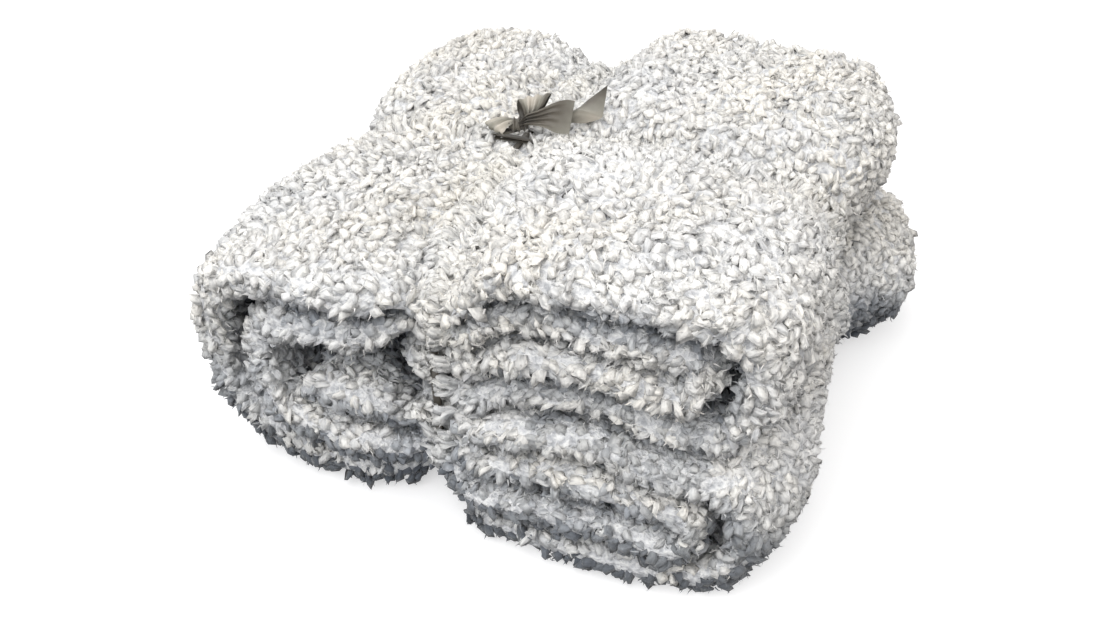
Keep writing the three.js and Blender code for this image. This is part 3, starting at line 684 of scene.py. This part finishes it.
def closing_rows():
    """Curls that stand beside each ribbon and lie over it: place, way, lay and length."""
    rows = []
    for name, (along, line, place) in RIBBON.items():
        loop, out = ribbon_loop(name, along)
        zero = np.zeros(len(loop))
        out3 = place(out, zero)
        for side, away, shift in ((-1, 4.2, 0.0), (1, 4.2, 0.5), (-1, 7.4, 0.5), (1, 7.4, 0.0)):
            base2 = even(loop, 4.6)
            step = np.arange(len(base2))
            near = np.array([int(np.argmin(((loop - b) ** 2).sum(1))) for b in base2])
            o2, o3 = out[near], out3[near]
            base2 = base2 + np.stack([-o2[:, 1], o2[:, 0]], 1) * (shift * 4.6 + rng.normal(0, 0.8, len(step)))[:, None]
            c = line(base2[:, 0])
            probe = place(base2 - o2 * 5.5, c + side * (away + rng.normal(0, 0.5, len(step))))
            for q, o, centre in zip(probe, o3, c):
                if o[2] < -0.4:
                    continue
                at, normal, _, far = tree.find_nearest(Vector(q))
                if far > 15 or np.linalg.norm(q[:2] - KNOT_BASE[:2]) < 17:
                    continue
                way = np.array(normal) * 0.35 + o
                way /= np.linalg.norm(way)
                lay = np.zeros(3)
                lay[1 - along] = -side
                lay += rng.normal(0, 0.28, 3)
                lay -= (lay @ way) * way
                rows.append((*at, *way, *(lay / np.linalg.norm(lay)), rng.uniform(11.5, 13.5) + 0.4 * far))
    return np.array(rows)


# ---------------------------------------------------------------- the curls
RINGS = np.array([0.0, 0.36, 0.70, 0.94])
GIRTH = np.array([0.78, 1.0, 1.04, 0.86])
SIDES = 3
WISPS = 2  # loose fibres that stand off each curl


def lay_of(place, way):
    """The way that each curl lies: a wandering nap, brushed down on the upright faces, over the ribbon beside it."""
    nap = np.zeros_like(place)
    for k in range(3):
        wave, phase = rng.normal(0, 0.035, 3), rng.uniform(0, 6.28)
        other, shift = rng.normal(0, 0.09, 3), rng.uniform(0, 6.28)
        nap[:, k] = np.sin(place @ wave + phase) + 0.7 * np.sin(place @ other + shift)
    nap[:, 2] -= 0.9
    nap += rng.normal(0, 0.9, place.shape)
    for off, axis in ((off_long, 0), (off_cross, 1)):
        near = (np.abs(off) < 15) & (SEEN > 0.15)
        pull = np.where(near, (1 - np.abs(off) / 15) * 5.0, 0)
        nap[:, axis] -= np.sign(off) * pull
    nap -= (nap * way).sum(1, keepdims=True) * way
    return nap / np.maximum(np.linalg.norm(nap, axis=1, keepdims=True), 1e-6)


def curls(place, way, lay, length, wide, thick, lean, turn, painted_shade):
    """Each curl is a flattened tuft that rises, rolls over and ends in a small tip. Returns points, faces, uv, colour."""
    n, R = len(place), len(RINGS)
    t = np.append(RINGS, 1.0)[None, :]
    lean, turn, L = lean[:, None], turn[:, None], length[:, None]
    a = lean + turn * t
    run = L * (np.cos(lean) - np.cos(a)) / turn
    rise = L * (np.sin(a) - np.sin(lean)) / turn
    beside = np.cross(way, lay)
    sway = rng.normal(0, 0.16, (n, 1)) * L * t**2
    mid = (place - way * 0.9)[:, None] + run[..., None] * lay[:, None] + rise[..., None] * way[:, None] + sway[..., None] * beside[:, None]
    ahead = np.sin(a)[..., None] * lay[:, None] + np.cos(a)[..., None] * way[:, None]
    twist = rng.normal(0, 0.55, (n, 1)) + rng.normal(0, 0.8, (n, 1)) * t
    over = np.cross(ahead, np.broadcast_to(beside[:, None], ahead.shape))
    s1 = beside[:, None] * np.cos(twist)[..., None] + over * np.sin(twist)[..., None]
    s2 = -beside[:, None] * np.sin(twist)[..., None] + over * np.cos(twist)[..., None]
    turnround = np.arange(SIDES) * 2 * math.pi / SIDES
    w = (wide[:, None] * GIRTH * rng.uniform(0.78, 1.22, (n, R)))[..., None]
    h = (thick[:, None] * GIRTH * rng.uniform(0.78, 1.22, (n, R)))[..., None]
    cup = rng.normal(0.08, 0.30, (n, 1))[..., None] * w
    ring = (
        mid[:, :R, None] + (w * np.cos(turnround))[..., None] * s1[:, :R, None]
        + (h * 1.25 * np.sin(turnround) + cup * (np.cos(turnround) ** 2 - 0.5))[..., None] * s2[:, :R, None]
    )
    ring += rng.normal(0, 0.34, ring.shape)
    wisps = []
    for w_ in range(WISPS):
        r = rng.integers(1, R, n)
        root = mid[np.arange(n), r] + (rng.normal(0, 0.8, (n, 1)) * wide[:, None] * 0.6) * beside
        go = way * rng.uniform(0.5, 1.1, (n, 1)) + beside * rng.normal(0, 0.8, (n, 1)) + lay * rng.normal(0.3, 0.6, (n, 1))
        go /= np.linalg.norm(go, axis=1, keepdims=True)
        flat_way = np.cross(go, rng.normal(0, 1, (n, 3)))
        flat_way /= np.linalg.norm(flat_way, axis=1, keepdims=True)
        bend = np.cross(go, flat_way)
        reach = rng.uniform(3.4, 5.6, (n, 1))
        half = rng.uniform(0.28, 0.52, (n, 1))
        middle = root + go * reach * 0.6 + bend * reach * 0.10
        wisps += [root - flat_way * half, root + flat_way * half, middle + flat_way * half * 0.8, middle - flat_way * half * 0.8, root + go * reach * 0.85 + bend * reach * 0.5]
    points = np.concatenate([ring.reshape(n, R * SIDES, 3), mid[:, R:], np.stack(wisps, 1)], 1)
    first = R * SIDES + 1
    per = first + 5 * WISPS
    quads, tips = [], []
    for r in range(R - 1):
        for k in range(SIDES):
            q = (k + 1) % SIDES
            quads.append([r * SIDES + k, r * SIDES + q, (r + 1) * SIDES + q, (r + 1) * SIDES + k])
    for k in range(SIDES):
        tips.append([(R - 1) * SIDES + k, (R - 1) * SIDES + (k + 1) % SIDES, R * SIDES])
    for k in range(WISPS):
        quads.append([first + 5 * k, first + 5 * k + 1, first + 5 * k + 2, first + 5 * k + 3])
        tips.append([first + 5 * k + 3, first + 5 * k + 2, first + 5 * k + 4])
    base = (np.arange(n) * per)[:, None, None]
    quads, tips = (np.array(quads)[None] + base).reshape(-1, 4), (np.array(tips)[None] + base).reshape(-1, 3)
    # each curl has its own small cell of the map
    side = CELLS
    cell = np.stack([np.arange(n) % side, np.arange(n) // side], 1) / side
    inset, size = 0.12 / side, 0.76 / side
    ring_v = np.append(RINGS, 1.0)
    q_uv, t_uv = [], []
    for r in range(R - 1):
        for k in range(SIDES):
            q_uv += [[k / SIDES * 0.72, ring_v[r]], [(k + 1) / SIDES * 0.72, ring_v[r]], [(k + 1) / SIDES * 0.72, ring_v[r + 1]], [k / SIDES * 0.72, ring_v[r + 1]]]
    for k in range(SIDES):
        t_uv += [[k / SIDES * 0.72, ring_v[R - 1]], [(k + 1) / SIDES * 0.72, ring_v[R - 1]], [(k + 0.5) / SIDES * 0.72, 1.0]]
    for k in range(WISPS):
        u = 0.80 + 0.11 * k
        q_uv += [[u, 0.05], [u + 0.09, 0.05], [u + 0.09, 0.6], [u, 0.6]]
        t_uv += [[u, 0.6], [u + 0.09, 0.6], [u + 0.045, 0.95]]
    uv = np.concatenate([(cell[:, None] + inset + np.array(c)[None] * size).reshape(-1, 2) for c in (q_uv, t_uv)])
    tone = np.clip(rng.normal(0.62, 0.26, n), 0, 1)
    warmth = np.clip(0.5 + 0.30 * np.sin(place @ np.array([0.021, 0.013, 0.017]) + 0.6) + 0.28 * np.sin(place @ np.array([-0.05, 0.043, 0.038]) + 2.1) + rng.normal(0, 0.12, n), 0, 1)
    climb = np.concatenate([np.repeat(RINGS, SIDES), [1.0], np.tile([0.7, 0.7, 0.95, 0.95, 1.1], WISPS)])
    colour = np.ones((n, per, 4))
    colour[..., 0], colour[..., 1], colour[..., 2] = climb[None], tone[:, None], warmth[:, None]
    # the alpha carries the painted shade of each curl
    colour[..., 3] = painted_shade[:, None]
    return points.reshape(-1, 3), [quads, tips], uv, colour.reshape(-1, 4)


count = len(PLACE)
length = rng.uniform(7.8, 10.6, count)
wide, thick = rng.uniform(2.8, 4.2, count), rng.uniform(1.5, 2.4, count)
lean, turn = rng.uniform(-0.30, 0.45, count), rng.uniform(1.9, 3.3, count)
# beside the ribbon lines the curls are longer and close over them
beside_line = np.minimum(np.abs(off_long), np.abs(off_cross))
from_knot = np.linalg.norm(PLACE[:, :2] - KNOT_BASE[:2], axis=1)
closing = (beside_line < 12) & (SEEN > 0.1) & (from_knot > 16)
length[closing] *= 1.45 - 0.03 * beside_line[closing]
turn[closing] = rng.uniform(0.9, 1.5, int(closing.sum()))
lean[closing] = rng.uniform(0.1, 0.5, int(closing.sum()))
in_crease = (SEEN < 0.30) & ~UNDER
length[in_crease] *= 1.18
# short beside the creases that stay open
OPEN = np.zeros(count, bool)
for above, below, x_from, x_to in OPEN_CREASES:
    upper, lower = list(BANDS).index(above), list(BANDS).index(below)
    beside_it = ((ON_BAND == upper) & (WAY[:, 2] < -0.4)) | ((ON_BAND == lower) & (WAY[:, 2] > 0.4))
    OPEN |= beside_it & (PLACE[:, 1] < -120) & (PLACE[:, 0] > x_from) & (PLACE[:, 0] < x_to)
length[OPEN] *= 0.78
length[UNDER] = rng.uniform(8, 10, int(UNDER.sum()))
lean[UNDER], turn[UNDER] = 1.25, 0.5
LAY = lay_of(PLACE, WAY)
over = closing_rows()
print("curls that close over the ribbon", len(over))
PLACE, WAY, LAY = (np.concatenate([a, over[:, 3 * k : 3 * k + 3]]) for k, a in enumerate((PLACE, WAY, LAY)))
more = len(over)
length = np.append(length, over[:, 9])
wide, thick = np.append(wide, rng.uniform(2.6, 3.8, more)), np.append(thick, rng.uniform(1.3, 2.0, more))
lean, turn = np.append(lean, rng.uniform(0.0, 0.3, more)), np.append(turn, rng.uniform(1.0, 1.6, more))
own = slice(0, len(SEEN))
# painted shade for each curl, carried in the colour's alpha: darker where little open air is over it, and low down on
# faces that turn forwards or down; the curls laid over the ribbon get a fixed 0.8
low = 1 - mix(0.04, 1.0, ease((PLACE[own, 2] - 8) / 145 + np.maximum(WAY[own, 2], 0)))
PAINTED_SHADE = np.clip((SEEN - 0.04) / 0.5, 0, 1) * (1 - low * np.clip(0.25 - WAY[own, 1] + np.maximum(-WAY[own, 2], 0), 0, 1))
# deeper painted shade on the curls beside the creases that stay open in front
PAINTED_SHADE = np.where(OPEN, PAINTED_SHADE * 0.45, PAINTED_SHADE)
SEEN, PAINTED_SHADE, count = np.append(SEEN, np.ones(more)), np.append(PAINTED_SHADE, np.full(more, 0.8)), count + more
order = np.argsort(PLACE[:, 0] * np.where(SEEN > 0, 1, 1) + 0.001 * PLACE[:, 1])
most = 190_000 // (2 * SIDES * (len(RINGS) - 1) + SIDES + 3 * WISPS)
groups = max(1, math.ceil(count / most))
for g, members in enumerate(np.array_split(order, groups)):
    pts, fcs, uv, colour = curls(PLACE[members], WAY[members], LAY[members], length[members], wide[members], thick[members], lean[members], turn[members], PAINTED_SHADE[members])
    pts[:, 2] = np.maximum(pts[:, 2], 0.15 + 0.25 * rng.uniform(size=len(pts)))
    piece = mesh_piece(f"throw_pile_{g + 1}", pts, fcs, PILE_LOOK, uv, colour)
    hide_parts("throw")


# ---------------------------------------------------------------- satin ribbon bands
# across and out, of a 22 mm ribbon gathered into three layers
PLEATS = np.array([
    (-4.6, 0.0), (-2.0, 0.15), (1.4, 0.1), (4.2, 0.25), (4.9, 0.6), (4.3, 0.95), (1.0, 1.0),
    (-1.9, 1.15), (-2.8, 1.5), (-2.0, 1.85), (0.8, 1.8), (3.4, 2.0), (4.4, 1.7),
])
SUNK = 7.0


def ribbon_band(name):
    along, line, place = RIBBON[name]
    loop, outward = ribbon_loop(name, along)
    n = len(loop)
    s = np.arange(n) / n * 2 * math.pi
    squeeze = 0.68 + 0.08 * np.sin(7 * s + 0.7) + 0.07 * np.sin(17 * s + 2.0)
    lift = 0.35 * np.sin(11 * s) + 0.25 * np.sin(23 * s + 1)
    points = np.empty((n, len(PLEATS), 3))
    for k, (w, h) in enumerate(PLEATS):
        at = loop - outward * (SUNK - h - lift * (k % 3) / 3)[:, None]
        points[:, k] = place(at, line(at[:, 0]) + w * squeeze)
    m = len(PLEATS)
    i, k = np.meshgrid(np.arange(n), np.arange(m - 1), indexing="ij")
    i, k = i.ravel(), k.ravel()
    q = (i + 1) % n
    fcs = np.stack([i * m + k, q * m + k, q * m + k + 1, i * m + k + 1], 1)
    share = np.concatenate([[0], np.cumsum(np.linalg.norm(np.diff(PLEATS, axis=0), axis=1))])
    share /= share[-1]
    uv = np.stack([np.stack([i / n, share[k]], 1), np.stack([(i + 1) / n, share[k]], 1), np.stack([(i + 1) / n, share[k + 1]], 1), np.stack([i / n, share[k + 1]], 1)], 1)
    colour = np.tile([0.15, 0, 0, 1.0], (points.size // 3, 1))
    piece = mesh_piece(name + "_satin", points.reshape(-1, 3), [fcs], SATIN_LOOK, uv.reshape(-1, 2), colour)
    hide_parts(name)
    return piece


for ribbon_name in RIBBON:
    ribbon_band(ribbon_name)

# ---------------------------------------------------------------- bow
# In the bow's own frame: r to the right, f towards the front, z up, from under the knot. Each row runs
# across the ribbon; the rows follow it from the knot outwards.
BOW_TURN = math.radians(21.0)
BOW = {
    "bow_tail_middle": [
        [(0.4, 6, 6.2), (1.3, 4.5, 7.1)], [(5.2, 6.6, 7), (5.2, 3.5, 12.8)], [(11.1, 6.8, 6.6), (13.4, 2, 15.5)],
        [(17.5, 7, 4.8), (22.7, 0.5, 19.5)], [(23.9, 7.2, 1.7), (30.3, -0.5, 21)], [(32.1, 7.4, 1), (35.9, -1, 20.1)],
    ],
    "bow_tail_right": [
        [(19.2, -3, 3.5), (19.2, -2, 6.5), (19.2, -5, 7.1)], [(27.4, -3, 2.8), (28, -1, 10.2), (28, -6, 9.3)],
        [(34.4, -2.5, 3.7), (35.3, -1, 13.1), (35.6, -7, 9.9)], [(41.4, -1.5, 3.9), (40.2, -1, 13.7), (42.6, -7.5, 15.9)],
        [(48.4, -1, 6), (47.8, -1, 10.5), (50.2, -8, 22.1)], [(51, -0.6, 7.1), (53.4, -1, 8.4), (56.6, -8.5, 27.3)],
    ],
    "bow_loop_rear": [
        [(4.5, 1.5, 9.9), (9.9, 1.5, 11.8)], [(3, 0, 14.7), (13.7, 0, 14.7)], [(1.3, -2, 17.9), (16.6, -2, 17.4)],
        [(0, -4.8, 18.9), (19.2, -5, 21)], [(-0.7, -7.4, 17.2), (21.1, -8.2, 21.6)], [(-1.2, -9.8, 11.5), (19.2, -10.4, 15.9)],
        [(-0.5, -9.4, 7), (15.4, -9.4, 9.3)], [(2, -6, 3), (8.7, -6, 4.5)],
    ],
    "bow_loop_left": [
        [(0, 3, 4.4), (0.4, -1, 3.6)], [(-3.8, 4.5, 6.5), (-2.6, -3, 4.8)], [(-7, 6, 4.9), (-7.3, -5, 6.5)],
        [(-8.7, 7.5, 3.1), (-13.7, -5.5, 6.2)], [(-9.9, 8, 2), (-21.3, -3.5, 4)], [(-8.9, 7.6, 0.9), (-19.6, -2.5, 1.7)],
        [(-4.7, 5.5, 0.6), (-9.9, -1.5, 0.8)], [(0, 3, 0.6), (0, -1, 0.8)],
    ],
}
# name: pleats across, their height at the knot and at the far row, how far the middle bulges
DRAPE = {
    "bow_tail_middle": (4.0, 2.3, 0.0, 0.5),
    "bow_tail_right": (2.0, 1.3, 0.05, 0.0),
    "bow_loop_rear": (3.5, 1.4, 0.5, 0.6),
    "bow_loop_left": (3.0, 2.0, 0.8, 0.9),
}
# painted reflection and shade on the satin, from 0 (dark) to 1 (light): rows from the knot outwards, columns across
# from the first edge
SATIN_PAINTED_LIGHT = {
    "bow_tail_middle": [(0.30, 0.12, 0.10, 0.25), (0.42, 0.22, 0.20, 0.28), (0.46, 0.27, 0.25, 0.30), (0.62, 0.46, 0.44, 0.50)],
    "bow_tail_right": [(0.10, 0.15, 0.30, 0.20), (0.55, 0.66, 0.42, 0.10), (0.80, 0.86, 0.52, 0.18), (0.86, 0.90, 0.60, 0.12)],
    "bow_loop_rear": [(0.30, 0.45, 0.40, 0.10), (0.15, 0.95, 0.80, 0.12), (0.60, 0.98, 0.86, 0.10), (0.10, 0.25, 0.20, 0.05), (0.05, 0.10, 0.10, 0.05)],
    "bow_loop_left": [(0.10, 0.15, 0.15, 0.10), (0.70, 0.90, 0.55, 0.70), (0.90, 0.98, 0.75, 0.92), (0.45, 0.30, 0.25, 0.40), (0.10, 0.08, 0.08, 0.10)],
}


def painted_light_colour(rows, t, across_it):
    """The table's painted reflection and shade at each share along (t) and across, in the red channel of a colour."""
    rows = np.array(rows, float)
    along = np.stack([np.interp(t, np.linspace(0, 1, len(rows)), rows[:, k]) for k in range(rows.shape[1])], 1)
    out = np.stack([np.interp(across_it, np.linspace(0, 1, rows.shape[1]), row) for row in along])
    colour = np.ones((out.size, 4))
    colour[:, 0] = out.ravel()
    return colour


def smooth_rows(rows, times):
    """A smooth curve through the rows."""
    k = np.arange(len(rows), dtype=float)
    padded = np.concatenate([2 * rows[:1] - rows[1:2], rows, 2 * rows[-1:] - rows[-2:-1]])
    out = []
    for at in np.linspace(0, k[-1], (len(rows) - 1) * times + 1):
        i = min(int(at), len(rows) - 2)
        t = at - i
        p0, p1, p2, p3 = padded[i : i + 4]
        out.append(0.5 * (2 * p1 + (p2 - p0) * t + (2 * p0 - 5 * p1 + 4 * p2 - p3) * t**2 + (3 * p1 - p0 - 3 * p2 + p3) * t**3))
    return np.array(out)


def to_bundle(points):
    r, f, z = points[..., 0], points[..., 1], points[..., 2]
    c, s = math.cos(BOW_TURN), math.sin(BOW_TURN)
    return np.stack([r * c + f * s, r * s - f * c, z], -1) + KNOT_BASE


def strip_faces(n, m):
    i, k = np.meshgrid(np.arange(n - 1), np.arange(m - 1), indexing="ij")
    i, k = i.ravel(), k.ravel()
    return np.stack([i * m + k, (i + 1) * m + k, (i + 1) * m + k + 1, i * m + k + 1], 1), i, k


def bow_piece(name):
    pleats, near, far, bulge = DRAPE[name]
    rows = smooth_rows(np.array(BOW[name], float), 8)
    n, edges = rows.shape[:2]
    cols = np.linspace(0, 1, 25)
    at = cols * (edges - 1)
    low = np.minimum(at.astype(int), edges - 2)
    sheet = mix(rows[:, low], rows[:, low + 1], (at - low)[None, :, None])
    along, over = np.gradient(sheet, axis=0), np.gradient(sheet, axis=1)
    up = np.cross(along, over)
    up /= np.maximum(np.linalg.norm(up, axis=2, keepdims=True), 1e-9)
    t = np.linspace(0, 1, n)[:, None]
    high = mix(near, far, ease(t * 1.15)) * np.sin(2 * math.pi * pleats * cols + 0.5 + 0.8 * t) * np.sin(math.pi * cols) ** 0.5
    high = high + bulge * 4 * cols * (1 - cols) * np.sin(math.pi * t)
    sheet = to_bundle(sheet + up * high[..., None])
    fcs, i, k = strip_faces(n, len(cols))
    long = float(np.linalg.norm(np.diff(sheet, axis=0), axis=2).sum(0).mean())
    u, v = lambda a: a / (n - 1) * long / 40, lambda b: cols[b] * 0.5
    uv = np.stack([np.stack([u(i), v(k)], 1), np.stack([u(i + 1), v(k)], 1), np.stack([u(i + 1), v(k + 1)], 1), np.stack([u(i), v(k + 1)], 1)], 1)
    colour = painted_light_colour(SATIN_PAINTED_LIGHT[name], np.linspace(0, 1, n), cols)
    piece = mesh_piece(name + "_satin", sheet.reshape(-1, 3), [fcs], SATIN_LOOK, uv.reshape(-1, 2), colour)
    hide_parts(name)
    return piece


def knot_wrap():
    """The ribbon's turn round the middle of the bow, gathered into folds that run round it."""
    lo, hi = KNOT_BOX
    wide, high = 13.0, 8.0
    cols, turn = np.linspace(-1, 1, 33), np.linspace(0, 2 * math.pi, 41)
    swell = (1 - 0.30 * np.abs(cols) ** 3) * (1 + 0.17 * np.sin(cols * 11.5 + 0.8) + 0.06 * np.sin(cols * 23))
    r = np.broadcast_to(cols * wide / 2 * 0.96, (len(turn), len(cols)))
    twist = turn[:, None] + 0.35 * cols[None]
    f = 5.3 * swell * np.cos(twist)
    z = high / 2 + high / 2 * 0.96 * swell * np.sin(twist)
    sheet = to_bundle(np.stack([r, f, np.maximum(z, 0.3)], -1))
    fcs, i, k = strip_faces(len(turn), len(cols))
    long = 2 * math.pi * math.sqrt((5.3**2 + 4.0**2) / 2)
    uv = np.stack([np.stack([(i + a) / 40 * long / 40, (k + b) / 64], 1) for a, b in ((0, 0), (1, 0), (1, 1), (0, 1))], 1)
    # painted reflection and shade on the knot: lighter on its front, darker round its back and at one edge
    colour = painted_light_colour([(0.25, 0.40, 0.20, 0.10), (0.10, 0.15, 0.10, 0.05), (0.25, 0.40, 0.20, 0.10)], turn / (2 * math.pi), (cols + 1) / 2)
    piece = mesh_piece("ribbon_knot_satin", sheet.reshape(-1, 3), [fcs], SATIN_LOOK, uv.reshape(-1, 2), colour)
    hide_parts("ribbon_knot")


for bow_name in BOW:
    bow_piece(bow_name)
knot_wrap()

# ---------------------------------------------------------------- floor, light, camera
def stage_floor():
    bpy.ops.mesh.primitive_plane_add(size=80, location=(0, 0, 0))
    floor = bpy.context.object
    floor.name = "floor"
    mat, tree, nodes, links, shader = nodes_of("pale_floor")
    shader.inputs["Base Color"].default_value = (0.58, 0.58, 0.585, 1)
    shader.inputs["Roughness"].default_value = 0.9
    shader.inputs["Specular IOR Level"].default_value = 0.0
    shader.inputs["Emission Color"].default_value = (1, 1, 1, 1)
    shader.inputs["Emission Strength"].default_value = 0.52
    floor.data.materials.append(mat)
    floor.visible_diffuse = False


def lamp(name, at, to, size, power, colour=(1, 1, 1)):
    data = bpy.data.lights.new(name, "AREA")
    data.shape, data.size, data.energy, data.color = "SQUARE", size, power, colour
    obj = bpy.data.objects.new(name, data)
    obj.location = at
    obj.rotation_mode = "QUATERNION"
    obj.rotation_quaternion = (Vector(to) - Vector(at)).to_track_quat("-Z", "Y")
    bpy.context.scene.collection.objects.link(obj)


stage_floor()
lamp("above", (-0.6, 0.4, 1.55), (0, 0, 0.1), 1.4, 8, (1.0, 0.98, 0.95))
lamp("front", (-0.25, -1.15, 1.6), (0, 0, 0.1), 1.6, 24, (0.985, 0.99, 1.0))
lamp("right", (1.4, -0.3, 0.9), (0, 0, 0.1), 1.0, 4, (1.0, 0.92, 0.84))
world = bpy.data.worlds.new("soft_white")
world.use_nodes = True
sky_nodes, sky_links = world.node_tree.nodes, world.node_tree.links
height = sky_nodes.new("ShaderNodeSeparateXYZ")
sky_links.new(sky_nodes.new("ShaderNodeTexCoord").outputs["Generated"], height.inputs[0])
sky = ramp(sky_nodes, [(0.482, (0.05, 0.052, 0.058)), (0.495, (0.80, 0.81, 0.825)), (0.7, (0.84, 0.842, 0.848)), (1.0, (0.84, 0.832, 0.82))])
sky_links.new(math_node(sky_nodes, sky_links, "MULTIPLY_ADD", height.outputs[2], 0.5, 0.5), sky.inputs[0])
sky_links.new(sky.outputs[0], sky_nodes["Background"].inputs[0])
sky_nodes["Background"].inputs[1].default_value = 1.0
scene = bpy.context.scene
scene.world = world
scene.view_settings.view_transform = "Standard"
scene.view_settings.look = "None"

CAMERA = {"at": (201.46, -531.05, 488.78), "turn": 21.0, "rise": 37.6, "focal_px": 1068.4, "shift_px": (12.0, -19.3)}
cam_data = bpy.data.cameras.new("camera")
cam_data.sensor_fit, cam_data.sensor_width = "HORIZONTAL", 36.0
cam_data.lens = CAMERA["focal_px"] / 1118 * 36.0
cam_data.shift_x, cam_data.shift_y = -CAMERA["shift_px"][0] / 1118, CAMERA["shift_px"][1] / 1118
cam_data.clip_start = 0.01
cam = bpy.data.objects.new("camera", cam_data)
a, e = math.radians(CAMERA["turn"]), math.radians(CAMERA["rise"])
back = Vector((math.sin(a) * math.cos(e), -math.cos(a) * math.cos(e), math.sin(e)))
cam.location = (Vector(CAMERA["at"]) + Vector(SHIFT)) * MM
cam.rotation_mode = "QUATERNION"
cam.rotation_quaternion = (-back).to_track_quat("-Z", "Y")
scene.collection.objects.link(cam)
scene.camera = cam
